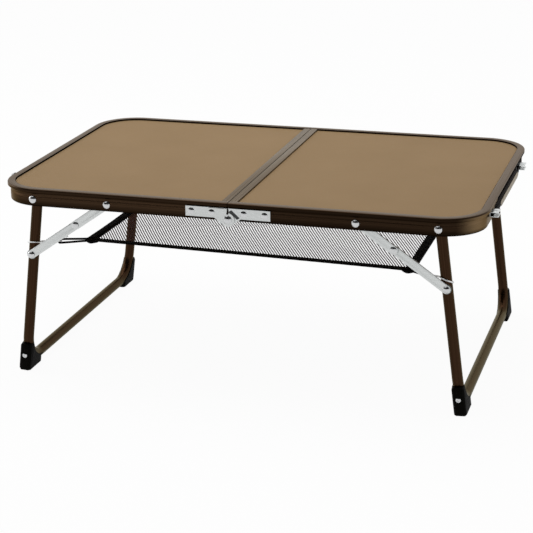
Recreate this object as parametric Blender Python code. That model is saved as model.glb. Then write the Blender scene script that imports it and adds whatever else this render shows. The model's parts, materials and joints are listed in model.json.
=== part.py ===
"""Folding camping table with two hinged top halves, folding U legs, stays and a net shelf.

Metres, +Z up. X runs along the table's width, Y from the front (-) to the back (+), and the
floor is Z = 0. The origin is on the floor under the middle of the top. Each half of the top,
each leg and each pair of stay links hangs on an empty that stands on its own pivot axis.
"""
import math

import bmesh
import bpy
from mathutils import Vector

# Table top
TABLE_WIDTH = 0.600
TABLE_DEPTH = 0.385
TABLE_HEIGHT = 0.243
CORNER_RADIUS = 0.055
SEAM_GAP = 0.0008
CLEARANCE = 0.0003

# Edge rail, an extrusion bent round three sides of each half
RAIL_HEIGHT = 0.020
LIP_WIDTH = 0.010
LIP_THICKNESS = 0.0018
LIP_FACE = 0.0043
LIP_ROUND = 0.0016
WAIST_INSET = 0.0040
SKIRT_INSET = 0.0032
COVE_HEIGHT = 0.0035
WEB_THICKNESS = 0.0016
LEDGE_WIDTH = 0.0040
LEDGE_THICKNESS = 0.0015
CENTRE_LIP_WIDTH = 0.0090
CENTRE_WEB = 0.0030
BOARD_THICKNESS = 0.0028
BOARD_PLAY = 0.0006

# Legs
TUBE_DIAMETER = 0.013
LEG_SPLAY = math.radians(7.3)
PIVOT_INSET = 0.051
PIVOT_RISE = 0.0063
BEND_RADIUS = 0.036
SOLE = 0.0035
FOOT_WIDTH = 0.015
FOOT_SKIN = 0.0020
FOOT_HEIGHT = 0.036
FOOT_LENGTH = 0.038
FOOT_ROUND = 0.0055
FOOT_CHAMFER = 0.0025

# Stays: P is the leg's pivot, each stay runs from the rail to the leg
STAY_ANCHOR = 0.096
STAY_REACH = 0.074
UPPER_LINK_WIDTH = 0.0110
LOWER_LINK_WIDTH = 0.0105
LINK_THICKNESS = 0.0016
LINK_GAP = 0.0005
TUBE_GAP = 0.0004
RIVET_HEAD_ROOM = 0.0023
STOP_NUB_LENGTH = 0.0030
STOP_NUB_HEIGHT = 0.0014
STOP_NUB_FROM_JOINT = 0.0200

# Rivets and screws
PIVOT_SHANK_RADIUS = 0.0025
STAY_SHANK_RADIUS = 0.0020
BORE_PLAY = 0.0003
PIVOT_HEAD_RADIUS = 0.0053
PIVOT_HEAD_HEIGHT = 0.0024
LEG_HEAD_RADIUS = 0.0050
LEG_HEAD_HEIGHT = 0.0022
JOINT_HEAD_RADIUS = 0.0043
JOINT_HEAD_HEIGHT = 0.0014
COLLAR_RADIUS = 0.0042
COLLAR_BACK = 0.0014
TAIL_RADIUS = 0.0040
TAIL_HEIGHT = 0.0014
SCREW_HEAD_RADIUS = 0.0030
SCREW_HEAD_HEIGHT = 0.0012
SCREW_SHANK_RADIUS = 0.0014
SCREW_LENGTH = 0.0070
SCREW_RISE = 0.021

# Top hinge, a pair of steel plates on the front rail and one on the back rail
HINGE_DROP = 0.0002
PLATE_LENGTH = 0.052
PLATE_HEIGHT = 0.0123
PLATE_LIFT = 0.0013
PLATE_THICKNESS = 0.0015
EAR_THICKNESS = 0.0009
EAR_RADIUS = 0.0085
EAR_REACH = 0.023
EAR_FOOT = 0.0165
EAR_STEP = 0.0104
EAR_SLOPE = math.radians(42)
LANCE_WIDTH = 0.0022
LANCE_RISE = 0.0050
LANCE_FALL = 0.0075
PLATE_RIVET_NEAR = 0.0195
PLATE_RIVET_FAR = 0.0450
PLATE_RIVET_RADIUS = 0.0040
PLATE_RIVET_HEIGHT = 0.0014
PEEP_RADIUS = 0.0014

# Net shelf and its ties
NET_WIDTH = 0.420
NET_DEPTH = 0.258
NET_DROP = 0.083
NET_TAPE = 0.012
NET_THICKNESS = 0.0024
NET_STRAND = 0.0026
NET_GAPS_X = 20
NET_GAPS_Y = 12
NET_CORNER_CUT = 0.008
HOOK_REACH = 0.060
HOOK_WIRE = 0.0016
HOOK_ARM = 0.016
HOOK_EYE_RADIUS = 0.0026
ELASTIC_DIAMETER = 0.0024
ELASTIC_SPREAD = 0.0066
ELASTIC_PINCH = 0.0030

# Carrying handle on the right end and closing clip on the left end
HANDLE_SPAN = 0.214
HANDLE_OFFSET = 0.010
GRIP_LENGTH = 0.142
GRIP_THICKNESS = 0.0022
GRIP_HEIGHT = 0.0070
GRIP_STANDOFF = 0.0051
GRIP_SQUARENESS = 1.25
HANDLE_DROP = 0.0112
TONGUE_THICKNESS = 0.0036
TONGUE_HEIGHT = 0.0034
BRACKET_WIDTH = 0.015
BRACKET_REACH = 0.0110
BRACKET_STEEL = 0.0012
SLOT_LENGTH = 0.0080
PIN_RADIUS = 0.0010
CLIP_WIDTH = 0.0065
CLIP_STEEL = 0.0012
CLIP_PLACE = 0.129
CLIP_REACH = 0.0020

ROUND_SIDES = 12
TUBE_SIDES = 12
GRIP_SIDES = 8
CORNER_STEPS = 8

# Heights
TOP = TABLE_HEIGHT
RAIL_BOTTOM = TOP - RAIL_HEIGHT
BOARD_TOP = TOP - LIP_THICKNESS - CLEARANCE
BOARD_BOTTOM = BOARD_TOP - BOARD_THICKNESS
LEDGE_TOP = BOARD_BOTTOM - CLEARANCE
LEDGE_BOTTOM = LEDGE_TOP - LEDGE_THICKNESS
PIVOT_Z = RAIL_BOTTOM + PIVOT_RISE
HINGE_Z = RAIL_BOTTOM - HINGE_DROP

# Layers in Y, from the middle of the table outwards
HALF_DEPTH = TABLE_DEPTH / 2
HALF_WIDTH = TABLE_WIDTH / 2
TUBE_RADIUS = TUBE_DIAMETER / 2
WALL_OUTER = HALF_DEPTH - SKIRT_INSET
WALL_INNER = HALF_DEPTH - WAIST_INSET - WEB_THICKNESS
UPPER_OUTER = WALL_INNER - RIVET_HEAD_ROOM
UPPER_INNER = UPPER_OUTER - LINK_THICKNESS
LOWER_OUTER = UPPER_INNER - LINK_GAP
LOWER_INNER = LOWER_OUTER - LINK_THICKNESS
LEG_Y = LOWER_INNER - TUBE_GAP - TUBE_RADIUS

# Places in X, for the right half
SEAM_X = SEAM_GAP / 2
PIVOT_X = HALF_WIDTH - PIVOT_INSET
ANCHOR_X = PIVOT_X - STAY_ANCHOR
LEG_REACH_X = PIVOT_X + STAY_REACH * math.sin(LEG_SPLAY)
LEG_REACH_Z = PIVOT_Z - STAY_REACH * math.cos(LEG_SPLAY)

# The straight stay spans rail to leg, and folds flat where the links differ by anchor - reach
STAY_SPAN = math.hypot(LEG_REACH_X - ANCHOR_X, LEG_REACH_Z - PIVOT_Z)
UPPER_LINK = (STAY_SPAN - (STAY_ANCHOR - STAY_REACH)) / 2
LOWER_LINK = (STAY_SPAN + (STAY_ANCHOR - STAY_REACH)) / 2
STAY_SLOPE = math.atan2(PIVOT_Z - LEG_REACH_Z, LEG_REACH_X - ANCHOR_X)

# Leg lengths, measured along the leg from its pivot
FLOOR_REACH = PIVOT_Z / math.cos(LEG_SPLAY)
CROSSBAR_REACH = (PIVOT_Z - SOLE - TUBE_RADIUS) / math.cos(LEG_SPLAY)

SIDES = {"left": -1, "right": 1}
ENDS = {"front": -1, "back": 1}


def clear_scene():
    """Remove whatever objects the file opened with."""
    for thing in list(bpy.data.objects):
        bpy.data.objects.remove(thing)


def finish(name, colour, roughness, metallic):
    """A Principled material of one colour."""
    material = bpy.data.materials.new(name)
    material.use_nodes = True
    shader = material.node_tree.nodes["Principled BSDF"]
    shader.inputs["Base Color"].default_value = (*colour, 1.0)
    shader.inputs["Roughness"].default_value = roughness
    shader.inputs["Metallic"].default_value = metallic
    return material


def empty_at(name, place, parent=None):
    """An empty on a pivot axis; its children are placed from there."""
    holder = bpy.data.objects.new(name, None)
    bpy.context.scene.collection.objects.link(holder)
    start = Vector((0.0, 0.0, 0.0))
    if parent:
        holder.parent = parent
        start = parent["world_place"]
    holder.location = Vector(place) - Vector(start)
    holder["world_place"] = tuple(place)
    return holder


def link_mesh(name, bm, holder, place, turn):
    """Put a finished bmesh into the scene, under its holder, turned about Y."""
    bmesh.ops.remove_doubles(bm, verts=bm.verts, dist=1e-7)
    bmesh.ops.recalc_face_normals(bm, faces=bm.faces)
    mesh = bpy.data.meshes.new(name)
    bm.to_mesh(mesh)
    bm.free()
    thing = bpy.data.objects.new(name, mesh)
    bpy.context.scene.collection.objects.link(thing)
    thing.parent = holder
    thing.location = Vector(place) - Vector(holder["world_place"])
    thing.rotation_euler = (0.0, turn, 0.0)
    return thing


def add_piece(name, bm, material, holder, place=(0.0, 0.0, 0.0), turn=0.0):
    """One named sub-part with its own material, smooth where it is round."""
    piece = link_mesh(name, bm, holder, place, turn)
    piece.data.materials.append(material)
    piece.data.shade_smooth()
    piece.data.set_sharp_from_angle(angle=math.radians(35))
    return piece


def shape_with(piece, bm, operation, place=None, turn=None):
    """Cut from a piece, or join to it, a helper shape that isn't itself a sub-part."""
    holder = piece.parent
    world = Vector(holder["world_place"]) + piece.location
    helper = link_mesh(
        piece.name + "_" + operation.lower(),
        bm,
        holder,
        world if place is None else place,
        piece.rotation_euler.y if turn is None else turn,
    )
    helper.hide_render = True
    helper.display_type = "WIRE"
    modifier = piece.modifiers.new(operation.lower(), "BOOLEAN")
    modifier.operation = operation
    modifier.solver = "EXACT"
    modifier.object = helper


def loft(rings, bm=None, closed=False):
    """Skin a row of rings that have the same number of points, and cap both ends."""
    bm = bm or bmesh.new()
    rows = [[bm.verts.new(point) for point in ring] for ring in rings]
    count = len(rows[0])
    pairs = list(zip(rows, rows[1:]))
    if closed:
        pairs.append((rows[-1], rows[0]))
    for low, high in pairs:
        for i in range(count):
            j = (i + 1) % count
            bm.faces.new((low[i], low[j], high[j], high[i]))
    if not closed:
        bm.faces.new(rows[0])
        bm.faces.new(rows[-1])
    return bm


def plate_xz(outline, near, far, bm=None):
    """A plate with an (x, z) outline, from y = near to y = far."""
    return loft([[(x, y, z) for x, z in outline] for y in (near, far)], bm)


def turned_y(profile, centre, end, bm=None, sides=ROUND_SIDES):
    """Turn a (radius, y) profile about an axis along Y; both its ends lie on the axis.

    centre is the axis's (x, z), and end mirrors the profile's y for the front of the table.
    """
    bm = bm or bmesh.new()
    rows = []
    for radius, y in profile:
        if radius == 0.0:
            rows.append([bm.verts.new((centre[0], end * y, centre[1]))])
            continue
        ring = []
        for i in range(sides):
            angle = 2 * math.pi * i / sides
            x = centre[0] + radius * math.cos(angle)
            z = centre[1] + radius * math.sin(angle)
            ring.append(bm.verts.new((x, end * y, z)))
        rows.append(ring)
    for low, high in zip(rows, rows[1:]):
        for i in range(sides):
            j = (i + 1) % sides
            corners = []
            for vert in (low[i % len(low)], low[j % len(low)], high[j % len(high)], high[i % len(high)]):
                if vert not in corners:
                    corners.append(vert)
            bm.faces.new(corners)
    return bm


def drill_y(centre, near, far, radius, end, bm=None, sides=ROUND_SIDES):
    """A plain round cutter along Y."""
    profile = [(0.0, near), (radius, near), (radius, far), (0.0, far)]
    return turned_y(profile, centre, end, bm, sides)


def dome(radius, seat, height, steps=3):
    """The outer profile of a domed rivet head that sits at y = seat."""
    points = [(radius, seat)]
    for i in range(1, steps):
        angle = math.radians(90) * i / steps
        points.append((radius * math.cos(angle), seat + height * math.sin(angle)))
    return points + [(0.0, seat + height)]


def arc(centre, radius, start, stop, steps):
    """Points on an arc in a plane, with angles in degrees."""
    points = []
    for i in range(steps + 1):
        angle = math.radians(start + (stop - start) * i / steps)
        points.append((centre[0] + radius * math.cos(angle), centre[1] + radius * math.sin(angle)))
    return points


def tube(path, radius, sides, round_ends=False):
    """A round bar along a path, with a ring at each point and flat or round ends."""
    points = [Vector(point) for point in path]
    tangents = []
    for i in range(len(points)):
        before = points[max(i - 1, 0)]
        after = points[min(i + 1, len(points) - 1)]
        tangents.append((after - before).normalized())
    normal = tangents[0].orthogonal().normalized()
    rings = []
    for point, tangent in zip(points, tangents):
        normal = (normal - tangent * normal.dot(tangent)).normalized()
        rings.append((point, tangent, normal, radius))
    if round_ends:
        first, last = rings[0], rings[-1]
        for angle in (30.0, 60.0, 80.0):
            size = radius * math.cos(math.radians(angle))
            shift = radius * math.sin(math.radians(angle))
            rings.insert(0, (first[0] - first[1] * shift, first[1], first[2], size))
            rings.append((last[0] + last[1] * shift, last[1], last[2], size))
    loops = []
    for point, tangent, normal, size in rings:
        across = tangent.cross(normal)
        loop = []
        for i in range(sides):
            angle = 2 * math.pi * i / sides
            loop.append(point + normal * size * math.cos(angle) + across * size * math.sin(angle))
        loops.append(loop)
    return loft(loops)


def rail_profile():
    """The rail's section as (inset from the outer edge, height) points, inside out."""
    lip_bottom = TOP - LIP_FACE
    waist_top = lip_bottom - COVE_HEIGHT
    waist_low = PIVOT_Z
    web_inner = WAIST_INSET + WEB_THICKNESS
    outer_round = arc((LIP_ROUND, TOP - LIP_ROUND), LIP_ROUND, 180, 90, 3)
    cove = []
    for i in range(1, 4):
        angle = math.radians(30 * i)
        cove.append((WAIST_INSET * math.sin(angle), waist_top + COVE_HEIGHT * math.cos(angle)))
    return [
        (0.0, lip_bottom),
        *outer_round,
        (LIP_WIDTH, TOP),
        (LIP_WIDTH, TOP - LIP_THICKNESS),
        (web_inner, TOP - LIP_THICKNESS),
        (web_inner, LEDGE_TOP),
        (web_inner + LEDGE_WIDTH, LEDGE_TOP),
        (web_inner + LEDGE_WIDTH, LEDGE_BOTTOM),
        (web_inner, LEDGE_BOTTOM),
        (web_inner, RAIL_BOTTOM),
        (SKIRT_INSET, RAIL_BOTTOM),
        (SKIRT_INSET, RAIL_BOTTOM + (waist_low - RAIL_BOTTOM) / 3),
        (WAIST_INSET, waist_low),
        (WAIST_INSET, waist_top),
        *reversed(cove[:-1]),
    ]


def half_outline(side, inset, seam_x, steps):
    """A half top's outline at some inset, from the seam's front to the seam's back."""
    y = HALF_DEPTH - inset
    radius = CORNER_RADIUS - inset
    corner_x = HALF_WIDTH - CORNER_RADIUS
    corner_y = HALF_DEPTH - CORNER_RADIUS
    points = [(seam_x, -y)]
    points += arc((corner_x, -corner_y), radius, -90, 0, steps)
    points += arc((corner_x, corner_y), radius, 0, 90, steps)
    points.append((seam_x, y))
    return [(side * x, y) for x, y in points]


def build_edge_rail(name, side, material, holder):
    """The rail runs from the seam, round both corners, back to the seam."""
    tracks = []
    for inset, z in rail_profile():
        outline = half_outline(side, inset, SEAM_X, CORNER_STEPS)
        tracks.append([(x, y, z) for x, y in outline])
    rail = add_piece(name, loft(list(zip(*tracks))), material, holder)
    holes = bmesh.new()
    for end in ENDS.values():
        for x, radius in ((PIVOT_X, PIVOT_SHANK_RADIUS), (ANCHOR_X, STAY_SHANK_RADIUS)):
            reach = (UPPER_OUTER, HALF_DEPTH)
            drill_y((side * x, PIVOT_Z), *reach, radius + BORE_PLAY, end, holes)
    shape_with(rail, holes, "DIFFERENCE")


def build_centre_rail(name, side, material, holder):
    """The straight rail along the seam, whose web reaches under the edge rail's ledge."""
    web = SEAM_X + CENTRE_WEB
    lip = SEAM_X + CENTRE_LIP_WIDTH
    profile = [
        (SEAM_X, RAIL_BOTTOM),
        (SEAM_X, TOP),
        (lip, TOP),
        (lip, TOP - LIP_THICKNESS),
        (web, TOP - LIP_THICKNESS),
        (web, LEDGE_TOP),
        (web + LEDGE_WIDTH, LEDGE_TOP),
        (web + LEDGE_WIDTH, LEDGE_BOTTOM),
        (web, LEDGE_BOTTOM),
        (web, RAIL_BOTTOM),
    ]
    reach = WALL_INNER - CLEARANCE
    outline = [(side * x, z) for x, z in profile]
    rail = add_piece(name, plate_xz(outline, -reach, reach), material, holder)
    notches = bmesh.new()
    shoulder = HALF_DEPTH - LIP_WIDTH - CLEARANCE
    notch = [
        (-side * CENTRE_LIP_WIDTH, LEDGE_BOTTOM - CLEARANCE),
        (-side * CENTRE_LIP_WIDTH, TOP + RAIL_HEIGHT),
        (side * lip * 2, TOP + RAIL_HEIGHT),
        (side * lip * 2, LEDGE_BOTTOM - CLEARANCE),
    ]
    for end in ENDS.values():
        plate_xz(notch, end * shoulder, end * HALF_DEPTH, notches)
    shape_with(rail, notches, "DIFFERENCE")


def build_board(name, side, material, holder):
    """The panel that slides into the rails' grooves."""
    inset = WAIST_INSET + WEB_THICKNESS + BOARD_PLAY
    seam_x = SEAM_X + CENTRE_WEB + BOARD_PLAY
    outline = half_outline(side, inset, seam_x, CORNER_STEPS)
    rings = [[(x, y, z) for x, y in outline] for z in (BOARD_BOTTOM, BOARD_TOP)]
    add_piece(name, loft(rings), material, holder)


def ear_outline(side, radius):
    """A round ear about the hinge axis, with a straight flank that rises to its own plate."""
    strap_top = HINGE_Z + PLATE_LIFT + PLATE_HEIGHT - CLEARANCE
    strap_low = HINGE_Z + HINGE_DROP + PLATE_LIFT + CLEARANCE
    rise = math.atan2(strap_low - HINGE_Z, EAR_FOOT)
    touch = math.acos(radius / math.hypot(EAR_FOOT, strap_low - HINGE_Z))
    points = arc((0.0, HINGE_Z), radius, 80, 360 + math.degrees(rise - touch), 14)
    points += [(EAR_FOOT, strap_low), (EAR_REACH, strap_low), (EAR_REACH, strap_top)]
    points.append((SEAM_X + 2 * CLEARANCE, strap_top))
    return [(side * x, z) for x, z in points]


def lance_outline():
    """The slit along the right plate's slanting edge, where its ear is set back behind the left one."""
    across = Vector((math.sin(EAR_SLOPE), math.cos(EAR_SLOPE)))
    along = Vector((math.cos(EAR_SLOPE), -math.sin(EAR_SLOPE)))
    pivot = Vector((0.0, HINGE_Z))
    points = []
    near = EAR_STEP - LANCE_WIDTH
    far = EAR_STEP + CLEARANCE / 3
    for step, reach in ((far, -LANCE_RISE), (far, LANCE_FALL), (near, LANCE_FALL), (near, -LANCE_RISE)):
        points.append(tuple(pivot + across * step + along * reach))
    return points


def build_hinge_plate(name, side, end, material, holder):
    """One leaf: a riveted plate with an ear. The left ear passes outside the right one."""
    seat = WALL_OUTER + CLEARANCE
    face = seat + PLATE_THICKNESS
    low = RAIL_BOTTOM + PLATE_LIFT
    high = low + PLATE_HEIGHT
    seam = SEAM_X + CLEARANCE
    foot_x = (EAR_STEP + (HINGE_Z - low) * math.cos(EAR_SLOPE)) / math.sin(EAR_SLOPE)
    head_z = HINGE_Z + (EAR_STEP - seam * math.sin(EAR_SLOPE)) / math.cos(EAR_SLOPE)
    if side > 0:
        corner = [(foot_x, low), (seam, head_z)]
        ear_span = (seat + CLEARANCE / 3, seat + EAR_THICKNESS)
        ear_radius = EAR_RADIUS - BORE_PLAY
    else:
        corner = [(seam, low)]
        ear_span = (seat + EAR_THICKNESS + CLEARANCE, face + EAR_THICKNESS)
        ear_radius = EAR_RADIUS
    outline = [(seam, high), (PLATE_LENGTH, high), (PLATE_LENGTH, low), *corner]
    outline = [(side * x, z) for x, z in outline]
    leaf = add_piece(name, plate_xz(outline, end * seat, end * face), material, holder)
    if side < 0:
        depth = ear_span[0] + CLEARANCE / 3
        room = drill_y((0.0, HINGE_Z), HALF_DEPTH / 2, depth, EAR_RADIUS + BORE_PLAY, end, sides=24)
        shape_with(leaf, room, "DIFFERENCE")
    ear = plate_xz(ear_outline(side, ear_radius), end * ear_span[0], end * ear_span[1])
    shape_with(leaf, ear, "UNION")
    if side > 0:
        lance = plate_xz(lance_outline(), end * HALF_DEPTH / 2, end * HALF_DEPTH * 2)
        shape_with(leaf, lance, "DIFFERENCE")
    heads = bmesh.new()
    for x in (PLATE_RIVET_NEAR, PLATE_RIVET_FAR):
        start = face - PLATE_THICKNESS / 2
        head = [(0.0, start), (PLATE_RIVET_RADIUS, start)]
        head += dome(PLATE_RIVET_RADIUS, face, PLATE_RIVET_HEIGHT)
        turned_y(head, (side * x, (low + high) / 2), end, heads)
    shape_with(leaf, heads, "UNION")
    bores = bmesh.new()
    drill_y((0.0, HINGE_Z), seat / 2, HALF_DEPTH * 2, PIVOT_SHANK_RADIUS + BORE_PLAY, end, bores)
    drill_y((0.0, (low + high) / 2), seat / 2, HALF_DEPTH * 2, PEEP_RADIUS, end, bores, 8)
    shape_with(leaf, bores, "DIFFERENCE")


def build_hinge_rivet(name, end, material, holder):
    """The pin through both ears, with its head outside."""
    seat = WALL_OUTER + CLEARANCE
    outside = seat + PLATE_THICKNESS + EAR_THICKNESS + CLEARANCE
    profile = [(0.0, seat + CLEARANCE / 3), (PIVOT_SHANK_RADIUS, seat + CLEARANCE / 3)]
    profile.append((PIVOT_SHANK_RADIUS, outside))
    profile += dome(PIVOT_HEAD_RADIUS, outside, PIVOT_HEAD_HEIGHT)
    add_piece(name, turned_y(profile, (0.0, HINGE_Z), end), material, holder)


def build_leg_pivot(name, side, end, material, holder):
    """The rivet that a leg turns on: tail, shank, spacing collar and domed head."""
    tail = LEG_Y - TUBE_RADIUS - CLEARANCE
    collar = (LEG_Y + TUBE_RADIUS + CLEARANCE, WALL_INNER - COLLAR_BACK)
    seat = WALL_OUTER + CLEARANCE
    shank = PIVOT_SHANK_RADIUS
    profile = [
        (0.0, tail - TAIL_HEIGHT),
        (TAIL_RADIUS, tail - TAIL_HEIGHT),
        (TAIL_RADIUS, tail),
        (shank, tail),
        (shank, collar[0]),
        (COLLAR_RADIUS, collar[0]),
        (COLLAR_RADIUS, collar[1]),
        (shank, collar[1]),
        (shank, seat),
        *dome(PIVOT_HEAD_RADIUS, seat, PIVOT_HEAD_HEIGHT),
    ]
    add_piece(name, turned_y(profile, (side * PIVOT_X, PIVOT_Z), end), material, holder)


def build_stay_anchor(name, side, end, material, holder):
    """The rivet that carries an upper link on the rail; it ends flush inside the link."""
    collar = (UPPER_OUTER + CLEARANCE, WALL_INNER - CLEARANCE)
    seat = WALL_OUTER + CLEARANCE
    shank = STAY_SHANK_RADIUS
    flush = UPPER_INNER + CLEARANCE / 3
    profile = [
        (0.0, flush),
        (shank, flush),
        (shank, collar[0]),
        (COLLAR_RADIUS, collar[0]),
        (COLLAR_RADIUS, collar[1]),
        (shank, collar[1]),
        (shank, seat),
        *dome(PIVOT_HEAD_RADIUS, seat, PIVOT_HEAD_HEIGHT),
    ]
    add_piece(name, turned_y(profile, (side * ANCHOR_X, PIVOT_Z), end), material, holder)


def leg_path():
    """The tube's middle line in the leg's own frame: down the front, across and up the back."""
    knee = CROSSBAR_REACH - BEND_RADIUS
    inner = LEG_Y - BEND_RADIUS
    path = [(-LEG_Y, 0.0)]
    path += arc((-inner, -knee), BEND_RADIUS, 180, 270, 6)
    path += arc((inner, -knee), BEND_RADIUS, 270, 360, 6)
    path.append((LEG_Y, 0.0))
    return [(0.0, y, z) for y, z in path]


def build_leg(name, side, material, holder):
    """One tube bent to a U: up the front, across the floor and up the back."""
    bar = tube(leg_path(), TUBE_RADIUS, TUBE_SIDES, round_ends=True)
    place = (side * PIVOT_X, 0.0, PIVOT_Z)
    leg = add_piece(name, bar, material, holder, place, -side * LEG_SPLAY)
    bores = bmesh.new()
    span = (LEG_Y - TUBE_DIAMETER, LEG_Y + TUBE_DIAMETER)
    for end in ENDS.values():
        drill_y((0.0, 0.0), *span, PIVOT_SHANK_RADIUS + BORE_PLAY, end, bores)
        drill_y((0.0, -STAY_REACH), *span, STAY_SHANK_RADIUS + BORE_PLAY, end, bores)
    shape_with(leg, bores, "DIFFERENCE")


def build_foot(name, side, end, material, holder):
    """A moulded shoe on the tube's bend, cut flat where it stands on the floor."""
    outer = LEG_Y + TUBE_RADIUS + FOOT_SKIN
    top = FOOT_HEIGHT - FLOOR_REACH
    low = -FLOOR_REACH - FOOT_WIDTH * math.tan(LEG_SPLAY)
    heel = outer - FOOT_LENGTH
    knee = CROSSBAR_REACH - BEND_RADIUS
    lean = math.degrees(math.asin(max(-1.0, min(0.0, (top + knee) / BEND_RADIUS))))
    seat = arc((LEG_Y - BEND_RADIUS, -knee), BEND_RADIUS, -90, lean, 5)

    def outline(shrink):
        turn = arc((outer - FOOT_ROUND, low + FOOT_ROUND), FOOT_ROUND - shrink, 0, -90, 3)
        back = [(heel + shrink, low + shrink), (heel + shrink, -CROSSBAR_REACH)]
        return [(outer - shrink, top - shrink), *turn, *back, *seat]

    half = FOOT_WIDTH / 2
    layers = (
        (-half, FOOT_CHAMFER),
        (FOOT_CHAMFER - half, 0.0),
        (half - FOOT_CHAMFER, 0.0),
        (half, FOOT_CHAMFER),
    )
    rings = [[(x, end * y, z) for y, z in outline(shrink)] for x, shrink in layers]
    place = (side * PIVOT_X, 0.0, PIVOT_Z)
    turn = -side * LEG_SPLAY
    foot = add_piece(name, loft(rings), material, holder, place, turn)
    groove = tube(leg_path(), TUBE_RADIUS + CLEARANCE, TUBE_SIDES)
    shape_with(foot, groove, "DIFFERENCE")
    screw_z = SCREW_RISE - FLOOR_REACH
    depth = outer - SCREW_LENGTH - CLEARANCE
    hole = drill_y((0.0, screw_z), depth, outer + FOOT_SKIN, SCREW_SHANK_RADIUS + BORE_PLAY, end, sides=8)
    shape_with(foot, hole, "DIFFERENCE")
    ground = [
        (-TABLE_WIDTH, -TABLE_HEIGHT),
        (-TABLE_WIDTH, 0.0),
        (TABLE_WIDTH, 0.0),
        (TABLE_WIDTH, -TABLE_HEIGHT),
    ]
    floor = plate_xz(ground, -TABLE_DEPTH, TABLE_DEPTH)
    shape_with(foot, floor, "DIFFERENCE", (0.0, 0.0, 0.0), 0.0)


def build_foot_screw(name, side, end, material, holder):
    """The screw that holds a shoe on the tube, seen on the shoe's outer face."""
    outer = LEG_Y + TUBE_RADIUS + FOOT_SKIN
    profile = [(0.0, outer - SCREW_LENGTH), (SCREW_SHANK_RADIUS, outer - SCREW_LENGTH)]
    profile.append((SCREW_SHANK_RADIUS, outer + CLEARANCE))
    profile += dome(SCREW_HEAD_RADIUS, outer + CLEARANCE, SCREW_HEAD_HEIGHT, 2)
    centre = (0.0, SCREW_RISE - FLOOR_REACH)
    place = (side * PIVOT_X, 0.0, PIVOT_Z)
    add_piece(name, turned_y(profile, centre, end, sides=8), material, holder, place, -side * LEG_SPLAY)


def link_outline(direction, length, width):
    """A strip with round ends about two rivets, from the origin along X."""
    radius = width / 2
    points = arc((0.0, 0.0), radius, 90, 270, 6) + arc((length, 0.0), radius, -90, 90, 6)
    return [(direction * x, z) for x, z in points]


def build_upper_link(name, side, end, material, holder):
    """The stay's short link, which hangs on the rail."""
    outline = link_outline(side, UPPER_LINK, UPPER_LINK_WIDTH)
    bm = plate_xz(outline, end * UPPER_INNER, end * UPPER_OUTER)
    place = (side * ANCHOR_X, 0.0, PIVOT_Z)
    link = add_piece(name, bm, material, holder, place, side * STAY_SLOPE)
    bores = bmesh.new()
    for x in (0.0, side * UPPER_LINK):
        drill_y((x, 0.0), LOWER_OUTER, WALL_INNER, STAY_SHANK_RADIUS + BORE_PLAY, end, bores, 10)
    shape_with(link, bores, "DIFFERENCE")


def build_lower_link(name, side, end, material, holder):
    """The stay's long link, which hangs on the leg and carries a small stop on its lower edge."""
    edge = LOWER_LINK_WIDTH / 2
    stop = LOWER_LINK - STOP_NUB_FROM_JOINT
    outline = arc((0.0, 0.0), edge, 90, -90, 6)
    outline = [(-x, z) for x, z in outline]
    outline += [
        (stop - STOP_NUB_LENGTH / 2, -edge),
        (stop - STOP_NUB_LENGTH / 2, -edge - STOP_NUB_HEIGHT),
        (stop + STOP_NUB_LENGTH / 2, -edge - STOP_NUB_HEIGHT),
        (stop + STOP_NUB_LENGTH / 2, -edge),
    ]
    outline += arc((LOWER_LINK, 0.0), edge, -90, 90, 6)
    outline = [(-side * x, z) for x, z in outline]
    bm = plate_xz(outline, end * LOWER_INNER, end * LOWER_OUTER)
    place = (side * LEG_REACH_X, 0.0, LEG_REACH_Z)
    link = add_piece(name, bm, material, holder, place, side * STAY_SLOPE)
    bores = bmesh.new()
    for x in (0.0, -side * LOWER_LINK):
        drill_y((x, 0.0), LEG_Y, UPPER_INNER, STAY_SHANK_RADIUS + BORE_PLAY, end, bores, 10)
    shape_with(link, bores, "DIFFERENCE")


def build_stay_joint(name, side, end, material, holder):
    """The rivet in the middle of a stay, held by the upper link and flush with its inner face."""
    seat = UPPER_OUTER + CLEARANCE
    flush = UPPER_INNER + CLEARANCE / 3
    profile = [(0.0, flush), (STAY_SHANK_RADIUS, flush), (STAY_SHANK_RADIUS, seat)]
    profile += dome(JOINT_HEAD_RADIUS, seat, JOINT_HEAD_HEIGHT)
    place = (side * ANCHOR_X, 0.0, PIVOT_Z)
    bm = turned_y(profile, (side * UPPER_LINK, 0.0), end, sides=10)
    add_piece(name, bm, material, holder, place, side * STAY_SLOPE)


def build_leg_rivet(name, side, end, material, holder):
    """The rivet through the leg that a lower link turns on."""
    seat = LOWER_OUTER + CLEARANCE
    inside = LEG_Y - TUBE_RADIUS / 2
    profile = [(0.0, inside), (STAY_SHANK_RADIUS, inside), (STAY_SHANK_RADIUS, seat)]
    profile += dome(LEG_HEAD_RADIUS, seat, LEG_HEAD_HEIGHT)
    place = (side * PIVOT_X, 0.0, PIVOT_Z)
    bm = turned_y(profile, (0.0, -STAY_REACH), end)
    add_piece(name, bm, material, holder, place, -side * LEG_SPLAY)


def net_lines(length, gaps):
    """Edges of tape, gaps and strands across the net, from one side to the other."""
    inner = length - 2 * NET_TAPE
    gap = (inner - (gaps - 1) * NET_STRAND) / gaps
    lines = [-length / 2]
    for i in range(gaps):
        start = NET_TAPE - length / 2 + i * (gap + NET_STRAND)
        lines += [start, start + gap]
    return lines + [length / 2]


def net_corner():
    """Where a tie leaves the net, in the middle of a corner's cut edge, for one quarter."""
    cut = NET_CORNER_CUT / 2
    return NET_WIDTH / 2 - cut, NET_DEPTH / 2 - cut, TOP - NET_DROP


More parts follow.
